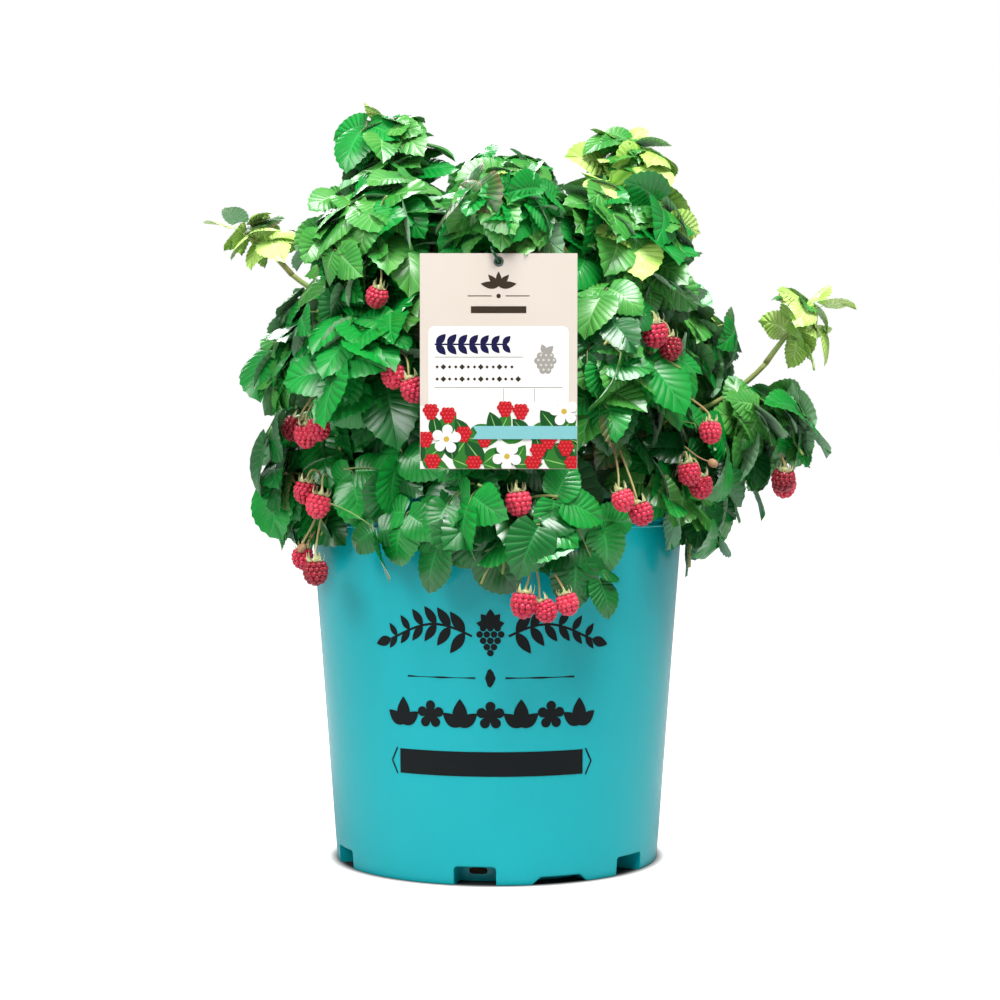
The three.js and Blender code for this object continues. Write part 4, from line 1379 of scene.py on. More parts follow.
@dataclass
class Foliage:
    """The leaves in four groups by height, their stalks, and the stems and twigs that carry them."""

    BRONZED: ClassVar[float] = 0.96
    LEVELS: ClassVar[tuple[float, ...]] = (0.14, 0.4, 0.72)

    growth: Growth
    groups: dict[str, tuple[str, ...]] = field(
        default_factory=lambda: {
            "leaves_skirt": ("skirt",),
            "leaves_waist": ("waist", "spray"),
            "leaves_upper": ("upper", "brow"),
            "leaves_tips": ("tower", "crown", "shoot"),
        }
    )

    def tone(self, leaf: Leaf, number: int) -> int:
        """Deals out a tone: paler with height, towards +X and on the shoots, and by chance, as younger growth
        and painted light.

        Args:
            leaf: the leaf.
            number: its place in the order of leaves.

        Returns:
            The tone's slot.
        """
        mass = self.growth.masses[leaf.mass]
        x, _, z = leaf.fork
        if chance(number, leaf.mass, 21) > self.BRONZED:
            return Tone.BRONZE.value
        # Painted light and shade in part: the tone is paler up high and towards +X, where the light falls,
        # and dark low down as painted shade; the shoots and tower tips are paler as younger growth.
        light = 0.16 + 0.3 * np.clip((z - 300) / 130, -0.4, 1) + 0.32 * np.clip((x - 30) / 130, 0, 1)
        light += (0.62 if leaf.age < 1 else 0.2) * mass.name.startswith("shoot")
        light += 0.14 * leaf.age * mass.name.startswith("tower")
        light += 0.55 * (chance(number, leaf.mass, 8) - 0.5)
        return int(np.searchsorted(self.LEVELS, light))

    def build(self) -> None:
        """Makes the leaf pieces, the stalks and the wood inside the masses."""
        blade = Blade()
        finishes = [LEAF_FINISHES[tone].make() for tone in Tone]
        for name, starts in self.groups.items():
            masses = [m for m in self.growth.masses if m.name.startswith(starts)]
            numbers = {m.number for m in masses}
            kept = [(i, leaf) for i, leaf in enumerate(self.growth.leaves) if leaf.mass in numbers]
            tones = np.array([self.tone(leaf, i) for i, leaf in kept])
            surface = blade.surface([leaf for _, leaf in kept], tones)
            surface.piece(name, finishes, "foliage", [f"leaves_{m.name}" for m in masses])
        self.stalks().piece("leaf_stalks", [STALK_FINISH.make()], "foliage")
        self.twigs().piece("twigs", [TWIG_FINISH.make()], "bark")

    def stalks(self) -> Surface:
        """Leaf stalks: each rises from its joint to the fork, and runs on to the end blade's base.

        Returns:
            Their surface.
        """
        leaves = self.growth.leaves
        joint, fork, along = (np.stack([getattr(v, n) for v in leaves]) for n in ("joint", "fork", "along"))
        size = np.array([leaf.size for leaf in leaves])[:, None]
        length = np.linalg.norm(fork - joint, axis=1, keepdims=True)
        bend = (joint + fork) / 2 + UP * length * 0.1
        main = bezier(np.stack([joint, bend, fork], 1), np.linspace(0, 1, 5))
        radii = np.broadcast_to(np.array([1.0, 0.72, 0.62, 0.6, 0.65]), main.shape[:2]) * size
        ended = np.array([0.0 in leaf.turns for leaf in leaves])
        tip = fork + along * Blade.RACHIS * size
        curve = np.stack([fork, (fork + tip) / 2, tip + along * 3], 1)[ended]
        rachis = bezier(curve, np.linspace(0, 1, 3))
        thin = np.broadcast_to(np.array([0.6, 0.5, 0.35]), rachis.shape[:2]) * size[ended]
        return Surface.joined([tubes(main, radii, 4), tubes(rachis, thin, 3)])

    def twigs(self) -> Surface:
        """The stem of each mass and its finer twigs, tapering.

        Returns:
            Their surface.
        """
        stems = np.stack([bezier(m.stem, np.linspace(0, 1, 12)) for m in self.growth.masses])
        thick = np.broadcast_to(np.linspace(2.0, 1.0, 12), stems.shape[:2])
        fine = np.stack([t.points(7) for t in self.growth.twigs])
        thin = np.stack([t.radii(7) for t in self.growth.twigs])
        return Surface.joined([tubes(stems, thick, 7), tubes(fine, thin, 5)])


# Leaf stalks are finely hairy, so they look soft; young twigs are green and old canes are buff and ridged.
STALK_FINISH = Finish("leaf_stalk_hairy", "#6f9a4c", "#a08a55", 12, 0.6, 0.6, 0.6, 0.05, 1.45, sheen=0.3)
TWIG_FINISH = Finish("young_twig_bark", "#86a256", "#9c8c50", 14, 0.7, 0.6, 0.8, 0.08, 1.45, sheen=0.2)
CANE_FINISH = Finish("cane_bark_ridged", "#8a7a4a", "#6d5433", 10, 0.9, 0.65, 0.9, 0.15, 1.5)
BOUGH_FINISH = Finish("green_bough_bark", "#86a256", "#9c8c50", 14, 0.7, 0.6, 0.9, 0.1, 1.45, sheen=0.1)


@dataclass
class Wood:
    """The canes and boughs with the bark's relief: swollen joints, long ridges and scattered prickles."""

    growth: Growth
    joint_every: float = 30.0
    joint_length: float = 2.2
    joint_swell: float = 0.16
    ridge: float = 0.06
    ridge_count: int = 5
    sides: int = 14
    prickles_each: int = 34

    def relief(self, limb: Limb, steps: int) -> Array:
        """Radii round and along a limb: its taper, swollen at each joint as exp(-d^2), with sine ridges.

        Args:
            limb: the limb.
            steps: how many rings.

        Returns:
            steps x sides radii.
        """
        points = limb.points(steps)
        run = np.concatenate([[0], np.cumsum(np.linalg.norm(np.diff(points, axis=0), axis=1))])
        off = ((run / self.joint_every + 0.5) % 1 - 0.5) * self.joint_every
        swell = self.joint_swell * np.exp(-((off / self.joint_length) ** 2))
        turn = np.arange(self.sides) * 2 * math.pi / self.sides
        ridges = self.ridge * np.sin(self.ridge_count * turn + 0.6 * np.sin(run[:, None] / 17))
        return limb.radii(steps)[:, None] * (1 + swell[:, None] + ridges)

    def tube(self, limbs: list[Limb], steps: int) -> Surface:
        """All the limbs as tubes with their relief."""
        centres = np.stack([limb.points(steps) for limb in limbs])
        return tubes(centres, np.stack([self.relief(limb, steps) for limb in limbs]), self.sides)

    def prickles(self) -> Surface:
        """Small four-sided cones that stand off the canes and point a little down.

        Returns:
            Their surface.
        """
        rng = np.random.default_rng(5)
        cone = turned_profile([(0.001, -0.4), (0.45, -0.4), (0.2, 0.6), (0.001, 1.6)], 4)
        origins, ways = [], []
        for limb in self.growth.canes:
            steps = limb.points(60)
            at = rng.uniform(1, 57, self.prickles_each).astype(int)
            forward = unit(steps[at + 1] - steps[at])
            side = unit(np.cross(forward, rng.normal(size=(len(at), 3))))
            origins.append(steps[at] + side * limb.radii(60)[at][:, None])
            ways.append(unit(side - forward * 0.5))
        way = np.vstack(ways)
        axes = axes_towards(way, way[:, [1, 2, 0]])
        return spread(cone, np.vstack(origins), axes, rng.uniform(0.7, 1.2, len(way)))

    def build(self) -> None:
        """Makes the canes and the boughs."""
        nodes = [f"cane_{i + 1}" for i in range(len(self.growth.canes))]
        canes = Surface.joined([self.tube(self.growth.canes, 64), self.prickles()])
        canes.piece("canes", [CANE_FINISH.make()], "bark", nodes)
        boughs = self.growth.boughs
        named = [f"bough_{name}" for name in boughs]
        self.tube(list(boughs.values()), 32).piece("boughs", [BOUGH_FINISH.make()], "bark", named)


@dataclass
class Fruit:
    """The raspberries: drupelets in rings over a blunt cone, a calyx of five curled sepals, a thin stalk."""

    growth: Growth
    radius: float = 6.7
    length: float = 16.5
    drupelet: float = 3.5
    sepal: float = 7.0
    unripe_height: float = 338.0

    def profile(self, psi: Array) -> tuple[Array, Array]:
        """The fruit's outline: a stretched circle's, narrower at its tip.

        Args:
            psi: angles from 0 at the tip to pi at the shoulder.

        Returns:
            Radii, and heights above its middle.
        """
        taper = 0.9 + 0.1 * (1 - np.cos(psi)) / 2
        return self.radius * np.sin(psi) ** 0.88 * taper, -self.length / 2 * np.cos(psi) * 0.86

    def places(self) -> tuple[Array, Array]:
        """Where the drupelets of one berry stand, in staggered rings.

        Returns:
            Their places, and the way that each faces.
        """
        psi = np.radians([10, 36, 59, 81, 103, 126])
        r, z = self.profile(psi)
        rings = []
        for i, (radius, height, angle) in enumerate(zip(r, z, psi)):
            count = max(3, round(2 * math.pi * radius / (self.drupelet * 0.95)))
            bearing = (np.arange(count) + 0.5 * (i % 2)) * 360 / count
            out = around(bearing, math.sin(angle), -math.cos(angle) * 0.85)
            rings.append(np.hstack([around(bearing, radius, height), out]))
        table = np.vstack(rings)
        return table[:, :3], unit(table[:, 3:])

    @staticmethod
    def bead() -> Surface:
        """One drupelet of radius 1: a dome up to a pole, closed by a flat foot, which is sunk."""
        return turned_profile([(0.0, -0.1), (1.0, -0.1), (0.86, 0.42), (0.5, 0.8), (0.0, 0.92)], 7)

    def core(self) -> Surface:
        """The body under the drupelets: the outline turned round the axis, a little smaller.

        Returns:
            Its surface.
        """
        psi = np.linspace(0.001, math.pi - 0.001, 9)
        r, z = self.profile(psi)
        return turned_profile(list(zip(r * 0.93, z * 0.95)), 12)

    def calyx(self) -> Surface:
        """Five narrow sepals: each is a pointed blade that starts under the stalk and curls out and up.

        Returns:
            Their surface.
        """
        v = np.linspace(0, 1, 7)
        out = 1.2 + self.sepal * 0.62 * np.sin(v * 1.9)
        up = 0.9 + self.sepal * (0.62 * v**2 - 0.3 * np.sin(v * math.pi))
        half = 0.04 + 1.9 * np.abs(np.sin(np.pi * (0.12 + 0.88 * v))) ** 0.8 * (1 - 0.4 * v)
        blades = []
        for i in range(5):
            bearing = 72.0 * i
            middle, aside = around(bearing, out, up), around(bearing + 90, 1, 0)
            rows = [middle + aside * half[:, None] * k - UP * 0.5 * (1 - abs(k)) for k in (-1, 0, 1)]
            sheet = np.stack(rows + [row - UP * 0.3 for row in rows[::-1]])
            blade = grid(sheet, wrap_rows=True)
            number = np.arange(6 * len(v)).reshape(6, len(v))
            blade.faces.append(np.stack([number[:, 0], number[::-1, -1]]))
            blades.append(blade)
        disc = turned_profile([(0.001, -0.6), (2.6, -0.2), (2.2, 0.9), (0.9, 1.7), (0.001, 2.0)], 10)
        return Surface.joined([*blades, disc])

    def build(self) -> None:
        """Makes the drupelets, cores, calyxes and stalks, each kind one piece."""
        rng = np.random.default_rng(3)
        berries = self.growth.berries
        count = len(berries)
        ends = ("centre", "hang", "joint")
        centre, hang, joint = (np.stack([getattr(b, name) for b in berries]) for name in ends)
        tilt = unit(UP + 0.16 * rng.normal(size=(count, 3)) + 0.1 * unit(hang - centre))
        axes = axes_towards(tilt, rng.normal(size=(count, 3)))
        sizes = rng.uniform(0.88, 1.06, count)
        places, ways = self.places()
        beads = len(places)
        spots = centre[:, None] + np.einsum("bi,nij->nbj", places, axes) * sizes[:, None, None]
        facing = np.einsum("bi,nij->nbj", ways, axes)
        jitter = 1 + rng.uniform(-0.09, 0.09, count * beads)
        shape = spread(
            self.bead(),
            (spots - facing * 0.35).reshape(-1, 3),
            axes_towards(facing.reshape(-1, 3), np.repeat(tilt, beads, 0) + 0.01),
            self.drupelet / 2 * 1.1 * np.repeat(sizes, beads) * jitter,
        )
        ripe = np.array([0, 1, 0, 2, 1, 0])[np.arange(count) % 6]
        ripe[np.abs(centre[:, 2] - self.unripe_height) < 6] = 3
        per = len(shape.faces[0]) // count, len(shape.faces[1]) // count
        shape.slots = [np.repeat(ripe, n) for n in per]
        finishes = [finish.make() for finish in BERRY_FINISHES]
        shape.piece("drupelets", finishes, "foliage")
        spread(self.core(), centre, axes, sizes).piece("berry_cores", [BERRY_FINISHES[2].make()], "foliage")
        top = centre + tilt * self.length / 2 * 0.8 * sizes[:, None]
        calyxes = spread(self.calyx(), top, axes, sizes * rng.uniform(0.85, 1.05, count))
        calyxes.piece("calyxes", [CALYX_FINISH.make()], "foliage")
        curve = np.stack([joint, hang + (hang - joint) * 0.12 + UP * 3, top + tilt * 6, top + tilt], 1)
        stalks = bezier(curve, np.linspace(0, 1, 12))
        radii = np.broadcast_to(np.linspace(0.75, 0.6, 12), stalks.shape[:2])
        tubes(stalks, radii, 6).piece("berry_stalks", [FRUIT_STALK_FINISH.make()], "foliage")
        self.buds(rng)

    def buds(self, rng: np.random.Generator) -> None:
        """Makes a few small dried buds on thin stalks beside some of the trusses.

        Args:
            rng: the random numbers.
        """
        chosen = self.growth.berries[8::9]
        centre = np.stack([b.centre + around(70 * i, 15, 6) * [1, 0.4, 1] for i, b in enumerate(chosen)])
        hang = np.stack([b.hang for b in chosen])
        psi = np.linspace(0.001, math.pi - 0.001, 7)
        ball = turned_profile(list(zip(2.6 * np.sin(psi) ** 0.8, -3.4 * np.cos(psi))), 8)
        axes = axes_towards(unit(hang - centre), rng.normal(size=(len(chosen), 3)))
        buds = spread(ball, centre, axes, np.ones(len(chosen)))
        curve = np.stack([hang, (hang + centre) / 2 - UP * 3, centre + unit(hang - centre) * 2], 1)
        stalks = bezier(curve, np.linspace(0, 1, 7))
        thin = tubes(stalks, np.full(stalks.shape[:2], 0.4), 5)
        Surface.joined([buds, thin]).piece("dried_buds", [BUD_FINISH.make()], "foliage")


# A drupelet is a taut, juicy skin with a fine bloom: light bleeds under it, and it has one small highlight.
BERRY_FINISHES = [
    Finish("raspberry_ripe", "#be1034", "#d0345a", 4, 0.6, 0.32, 0, 0, 1.4, 0.25, 0.15, 0.35),
    Finish("raspberry_bright", "#d41e40", "#e2506a", 4, 0.6, 0.32, 0, 0, 1.4, 0.25, 0.15, 0.35),
    Finish("raspberry_dark", "#8a0c22", "#a8182f", 4, 0.6, 0.34, 0, 0, 1.4, 0.25, 0.1, 0.3),
    Finish("raspberry_unripe", "#e8573a", "#ef8a5c", 4, 0.6, 0.34, 0, 0, 1.4, 0.25, 0.15, 0.3),
]
CALYX_FINISH = Finish("sepal_downy", "#c9c48f", "#9fb070", 3, 0.8, 0.75, 0.5, 0.04, 1.45, sheen=0.3)
FRUIT_STALK_FINISH = Finish(
    "fruit_stalk_bristly", "#a9a767", "#b98a58", 9, 0.8, 0.65, 0.5, 0.06, 1.45, sheen=0.3
)
BUD_FINISH = Finish("bud_dried", "#a98563", "#8a6446", 2, 0.8, 0.8, 0.5, 0.08, 1.45)


# ---------------------------------------------------------------- the pot, the soil and the label

# Moulded polypropylene with a smooth gloss: long soft reflections, and a trace of orange peel from the mould.
POT_FINISH = Finish(
    "polypropylene_moulded_teal", "#02a4ad", "#04aab3", 60, 0.5, 0.24, 4.0, 0.012, 1.49, gloss=0.3
)
# Compost is damp bark fines, dark and quite dull, with paler chips.
SOIL_FINISH = Finish("compost_bark_fines", "#2c1f16", "#4a3524", 3, 0.9, 0.95, 1.2, 0.5, 1.4)
CHIP_FINISH = Finish("compost_bark_chips", "#5a4029", "#38271a", 5, 0.9, 0.9, 0.9, 0.3, 1.4)


@dataclass
class Pot:
    """The pot: a tapered wall with a lip band over a groove, and drain notches and arches round its foot."""

    edge: float = 0.8
    wall: float = 1.8
    floor: float = 2.4
    notches: int = 6
    notch_first: float = -7.5
    notch_height: float = 11.4
    notch_depth: float = 14.0
    notch_corner: float = 2.6
    arches: int = 3
    arch_first: float = 22.0
    arch_height: float = 4.6
    arch_slope: float = 3.0
    arc: float = 14.4
    slot_half_width: float = 5.5
    slot_half_height: float = 2.0
    slot_middle: float = 6.2

    @property
    def back(self) -> float:
        """How far from the axis the back of each notch is."""
        return BASE_RADIUS - self.wall - self.notch_depth

    def wall_radius(self, z: Array) -> Array:
        """The outside of the wall at a height: a straight taper."""
        return BASE_RADIUS + (WALL_TOP_RADIUS - BASE_RADIUS) * z / (POT_HEIGHT - LIP_HEIGHT)

    def columns(self) -> tuple[Array, Array]:
        """Bearings round the pot, closer at the recesses, and how high the recess is at each.

        A notch's top corners are rounded, and its sides are upright: two columns stand at each side, one
        outside it and one inside. An arch's ends slope.

        Returns:
            The bearings and the heights.
        """

        def off(first: float, count: int) -> Array:
            """The angle from each column to the nearest of some even bearings."""
            apart = 360 / count
            return np.abs((every - first + apart / 2) % apart - apart / 2)

        half = self.arc / 2
        corner = math.degrees(self.notch_corner / BASE_RADIUS)
        coarse, fine = np.arange(0, 360, 2.0), []
        for i in range(self.notches):
            at = self.notch_first + 360 / self.notches * i
            offsets = half - corner * (1 - np.cos(np.linspace(0, math.pi / 2, 5)))
            fine.append(at + np.concatenate([-offsets, offsets, [-half - 0.01, half + 0.01]]))
        for i in range(self.arches):
            at = self.arch_first + 360 / self.arches * i
            fine.append(at + np.array([-half - self.arch_slope, -half, half, half + self.arch_slope]))
        edges = np.concatenate(fine) % 360
        apart = np.abs((coarse[:, None] - edges[None] + 180) % 360 - 180).min(1)
        every = np.sort(np.concatenate([coarse[apart > 0.35], edges]))
        inside = half - off(self.notch_first, self.notches)
        bite = np.clip((corner - inside) / corner, 0, 1)
        notch = self.notch_height - self.notch_corner * (1 - np.sqrt(1 - bite**2))
        slope = half + self.arch_slope - off(self.arch_first, self.arches)
        arch = self.arch_height * np.clip(slope / self.arch_slope, 0, 1)
        return every, np.where(inside > -0.001, notch, arch)

    def profile(self, recess: Array) -> tuple[Array, Array]:
        """The section through the wall for each column, from the middle of the underside to the inner floor.

        Where there is no recess, the rows at its back stand a little apart, so that no face is empty.

        Args:
            recess: how high the recess is in each column.

        Returns:
            Radii and heights, rows x columns.
        """
        back, top, rim, neck = self.back, POT_HEIGHT, LIP_RADIUS, WALL_TOP_RADIUS
        flat = np.zeros_like(recess)
        foot = self.wall_radius(recess)
        rows: list[tuple[Array, Array]] = [(flat, flat), (flat + back - 6, flat), (flat + back, flat)]
        spare = 0.5 * (recess < 0.01)
        rows += [(back + spare * s, recess * s) for s in (0.04, 0.5, 0.96, 1.0)]
        rows += [(back + (foot - self.edge - back) * s, recess) for s in (0.04, 0.35, 0.7, 1.0)]
        rounds = [(self.edge * (1 - math.sin(a)), self.edge * (1 - math.cos(a))) for a in (0.5, 1.05, 1.5708)]
        rows += [(foot - inward, recess + up) for inward, up in rounds]
        heights = [recess + (22 - recess) * s for s in (0.15, 0.4, 0.7, 1.0)]
        rows += [(self.wall_radius(z), z) for z in heights]
        rows += [(flat + self.wall_radius(z), flat + z) for z in np.linspace(34, 208, 15)]
        lip = [
            (neck - 0.3, 213.0), (neck - 0.2, 215.2), (neck + 0.5, 215.8), (neck + 0.6, 216.6),
            (neck - 0.5, 217.2), (neck - 0.6, 218.6), (neck, 219.4), (rim - 0.9, 219.5), (rim - 0.2, 219.8),
            (rim, 220.6), (rim, 222.5), (rim, 225.5), (rim - 0.2, 226.9), (rim - 0.8, top - 0.3),
            (rim - 1.7, top), (rim - 3.0, top - 0.1), (rim - 3.9, top - 0.8), (rim - 4.2, top - 3),
            (neck - self.wall, 217.0), (self.wall_radius(180) - self.wall, 180.0),
        ]
        rows += [(flat + r, flat + z) for r, z in lip]
        inner = np.where(recess > 0.01, recess + self.wall, self.floor)
        rows += [(self.wall_radius(inner) - self.wall, inner + s) for s in (20.0, 0.0)]
        level = flat + self.floor
        rows += [(flat + back - self.wall, inner), (back - self.wall - spare, level), (flat, level)]
        return np.stack([r for r, _ in rows]), np.stack([z for _, z in rows])

    def build(self) -> None:
        """Makes the pot, and the soil that shows at the drain slot in the back of each notch."""
        bearing, recess = self.columns()
        r, z = self.profile(recess)
        shell = grid(around(bearing[None], r, z), wrap_columns=True, poles=True)
        made = shell.piece("pot_shell", [POT_FINISH.make()], "pot", ["pot"])
        made.data.set_sharp_from_angle(angle=math.radians(42))
        turn = np.linspace(0, 2 * math.pi, 20, endpoint=False)
        c, s = np.cos(turn), np.sin(turn)
        wide = self.slot_half_width * np.sign(c) * np.abs(c) ** 0.4
        tall = self.slot_half_height * np.sign(s) * np.abs(s) ** 0.6
        slots = []
        for i in range(self.notches):
            at = self.notch_first + 360 / self.notches * i
            rows = [
                around(at + np.degrees(wide * k / self.back), self.back + out, self.slot_middle + tall * k)
                for k, out in ((0, -0.3), (1, -0.3), (1, 0.15), (0.02, 0.15), (0, 0.15))
            ]
            slots.append(grid(np.stack(rows), wrap_columns=True, poles=True))
        Surface.joined(slots).piece("drain_slots", [SOIL_FINISH.make()], "soil")


@dataclass
class Soil:
    """The compost: a crumbly mound below the rim with bark chips lying on it."""

    radius: float = 115.9
    depth: float = 14.0
    lump: float = 2.2
    chips: int = 420
    chip_size: tuple[float, float, float] = (5.0, 5.0, 2.2)

    def level(self, x: Array, y: Array) -> Array:
        """The height of the surface: a mound that falls as r squared, with lumps of two sizes.

        Args:
            x: places across.
            y: places from front to back.

        Returns:
            The heights.
        """
        r = np.hypot(x, y) / self.radius
        place = np.stack([x, y, x * 0], -1)
        lumps = self.lump * (0.7 * smooth_noise(place, 14, 1) + 0.5 * smooth_noise(place, 5, 2))
        return SOIL_LEVEL + SOIL_CROWN * (1 - r**2) + lumps * np.clip((1 - r) * 8, 0.25, 1)

    def mound(self) -> Surface:
        """The surface in rings round the axis, closed by a skirt and a flat underside.

        Returns:
            The surface.
        """
        radii = np.concatenate([[0.0], np.linspace(2, self.radius - 0.5, 58)])
        bearing = np.arange(0, 360, 3.0)
        top = around(bearing[None], radii[:, None], 0.0)
        top[..., 2] = self.level(top[..., 0], top[..., 1])
        low = SOIL_LEVEL - self.depth
        skirt = [around(bearing, r, low) for r in (self.radius - 1.5, 60.0, 0.0)]
        return grid(np.concatenate([top, np.stack(skirt)])[::-1], wrap_columns=True, poles=True)

    def bark(self) -> Surface:
        """Flat splinters of bark, each a bent slab with tapering ends, strewn at random.

        Returns:
            Their surface.
        """
        rng = np.random.default_rng(8)
        sections = [(-1.0, 0.12, 0.0), (-0.6, 0.8, 0.35), (0.1, 1.0, 0.5), (0.7, 0.7, 0.3), (1.0, 0.1, 0.0)]
        x, w, z = np.array(sections).T * [[1.0], [0.4], [0.3]]
        body = [[x, -w, z - 0.3], [x, w, z - 0.3], [x, w * 0.8, z + 0.25], [x, -w * 0.8, z + 0.3]]
        shape = grid(np.moveaxis(np.array(body), (0, 1, 2), (1, 2, 0)), wrap_columns=True)
        number = np.arange(len(shape.points)).reshape(-1, len(body))
        shape.faces = [np.vstack([*shape.faces, number[:1, ::-1], number[-1:]])]
        shape.points = shape.points * self.chip_size
        out = np.sqrt(rng.uniform(0, 1, self.chips)) * (self.radius - 8)
        place = around(rng.uniform(0, 360, self.chips), out, 0.0)
        place[:, 2] = self.level(place[:, 0], place[:, 1]) + 0.6
        flat = unit(UP + 0.35 * rng.normal(size=(self.chips, 3)))
        axes = axes_towards(flat, rng.normal(size=(self.chips, 3)))
        return spread(shape, place, axes, rng.uniform(0.5, 1.5, self.chips))

    def build(self) -> None:
        """Makes the mound and the chips."""
        self.mound().piece("compost", [SOIL_FINISH.make()], "soil", ["soil"])
        self.bark().piece("bark_chips", [CHIP_FINISH.make()], "soil", smooth=False)


# Printed matt polypropylene sheet: satin, very slightly uneven; inks lie flat on it.
CARD_FINISH = Finish("polypropylene_sheet_cream", "#c4bab0", "#c0b6aa", 40, 0.5, 0.5, 1.5, 0.01, 1.49)
EYELET_FINISH = Finish("polypropylene_eyelet_grey", "#4b5557", "#59625f", 5, 0.5, 0.4, 0.8, 0.01, 1.49)
TIE_FINISH = Finish("polyethylene_tie_green", "#14432a", "#1c5a38", 5, 0.5, 0.35, 0.8, 0.02, 1.5)


def ink(name: str, colour: str) -> bpy.types.Material:
    """A printed ink: an even colour, a little glossier than the sheet."""
    return Finish(f"ink_{name}", colour, colour, 10, 0.2, 0.45, 0, 0, 1.5, gloss=0.15).make()


def lens(corners: int = 24, wide: float = 0.3) -> Array:
    """A leaf's outline from its base at the origin to its tip at x = 1: y = wide sin(pi t^0.85)^0.9.

    Args:
        corners: about how many corners it has.
        wide: its half width.

    Returns:
        k x 2 corners.
    """
    t = np.linspace(0, 1, corners // 2 + 1)
    y = wide * np.sin(np.pi * t**0.85).clip(0) ** 0.9
    return np.vstack([np.stack([t, -y], 1), np.stack([t, y], 1)[-2:0:-1]])


def disc(corners: int = 24) -> Array:
    """A circle's outline of radius 1."""
    turn = np.linspace(0, 2 * math.pi, corners, endpoint=False)
    return np.stack([np.cos(turn), np.sin(turn)], 1)


def petals(count: int = 5) -> Array:
    """A flower's outline of radius 1: the radius rises from 0.45 to 1 in the middle of each petal.

    Args:
        count: how many petals.

    Returns:
        k x 2 corners.
    """
    turn = np.linspace(0, 2 * math.pi, 12 * count, endpoint=False)
    r = 0.45 + 0.55 * np.abs(np.cos(turn * count / 2)) ** 0.55
    return np.stack([r * np.cos(turn), r * np.sin(turn)], 1)


def box(x0: float, x1: float, z0: float, z1: float, corner: float = 0.0) -> Array:
    """A rectangle's outline, with rounded corners where a corner radius is given.

    Args:
        x0: left.
        x1: right.
        z0: foot.
        z1: top.
        corner: the corners' radius.

    Returns:
        k x 2 corners.
    """
    if not corner:
        return np.array([[x0, z0], [x1, z0], [x1, z1], [x0, z1]])
    turn = np.radians(np.concatenate([np.linspace(q, q + 90, 6) for q in (0, 90, 180, 270)]))
    middle_x = np.repeat([x1 - corner, x0 + corner, x0 + corner, x1 - corner], 6)
    middle_z = np.repeat([z1 - corner, z1 - corner, z0 + corner, z0 + corner], 6)
    return np.stack([middle_x + corner * np.cos(turn), middle_z + corner * np.sin(turn)], 1)


def ribbon(path: Array, half: float) -> Array:
    """A line of even width along a path.

    Args:
        path: n x 2 points.
        half: half its width.

    Returns:
        The outline of each stretch, n - 1 x 4 x 2.
    """
    way = np.gradient(path, axis=0)
    way = way / np.linalg.norm(way, axis=1, keepdims=True)
    side = np.stack([-way[:, 1], way[:, 0]], 1) * half
    left, right = path + side, path - side
    return np.stack([right[:-1], right[1:], left[1:], left[:-1]], 1)


def placed(outline: Array, places: Array, spins: Array | float, scales: Array | float) -> Array:
    """Copies of an outline, each turned, scaled and set at its place.

    Args:
        outline: k x 2 corners.
        places: n places, or one for all, as x and z.
        spins: each one's turn in radians, or one for all.
        scales: each one's scale, or one for all.

    Returns:
        n x k x 2 corners.
    """
    count = max(np.size(spins), np.size(scales), np.size(places) // 2)
    places, scales = np.broadcast_to(places, (count, 2)), np.broadcast_to(scales, count)
    spins = np.broadcast_to(spins, count)
    c, s = np.cos(spins), np.sin(spins)
    turn = np.stack([np.stack([c, s], -1), np.stack([-s, c], -1)], -2)
    return places[:, None] + np.einsum("ki,nij->nkj", outline, turn) * scales[:, None, None]


@dataclass
class Print:
    """Ink on a surface: shapes that each stand a little prouder than the one before, with closed sides.

    Attributes:
        place: turns x, z and a lift off the surface into points.
        inks: the materials.
        proud: how far the first shape stands off.
        step: how much farther each later one does.
    """

    place: Callable[[Array, Array, Array], Array]
    inks: list[bpy.types.Material]
    proud: float = 0.05
    step: float = 0.0015
    shapes: list[Surface] = field(default_factory=list)
    count: int = 0

    def add(self, outlines: Array, number: int = 0) -> None:
        """Lays shapes down, each as a fan round its middle.

        Args:
            outlines: n x k x 2 corners as x and z, in order round each shape.
            number: which ink.
        """
        n, k = outlines.shape[:2]
        x, z = outlines[..., 0], outlines[..., 1]
        area = (x * np.roll(z, -1, 1) - np.roll(x, -1, 1) * z).sum(1)
        outlines = np.where((area > 0)[:, None, None], outlines, outlines[:, ::-1])
        lift = (self.proud + self.step * (self.count + np.arange(n)))[:, None]
        self.count += n
        with_hub = np.concatenate([outlines, outlines.mean(1, keepdims=True)], 1)
        x, z = with_hub[..., 0], with_hub[..., 1]
        points = np.concatenate([self.place(x, z, x * 0 + lift), self.place(x, z, x * 0 - 0.05)], 1)
        start = np.arange(n)[:, None] * (2 * k + 2)
        ring = start + np.arange(k)
        after = start + np.roll(np.arange(k), -1)
        hub = start + k + ring * 0
        under = k + 1
        fans = np.concatenate([np.stack([ring, after, hub], -1), np.stack([after, ring, hub], -1) + under])
        sides = np.stack([ring, ring + under, after + under, after], -1)
        faces = [fans.reshape(-1, 3), sides.reshape(-1, 4)]
        self.shapes.append(Surface(points.reshape(-1, 3), faces).in_slot(number))

    def piece(self, name: str, slot: str) -> None:
        """Makes the print."""
        Surface.joined(self.shapes).piece(name, self.inks, slot, smooth=False)


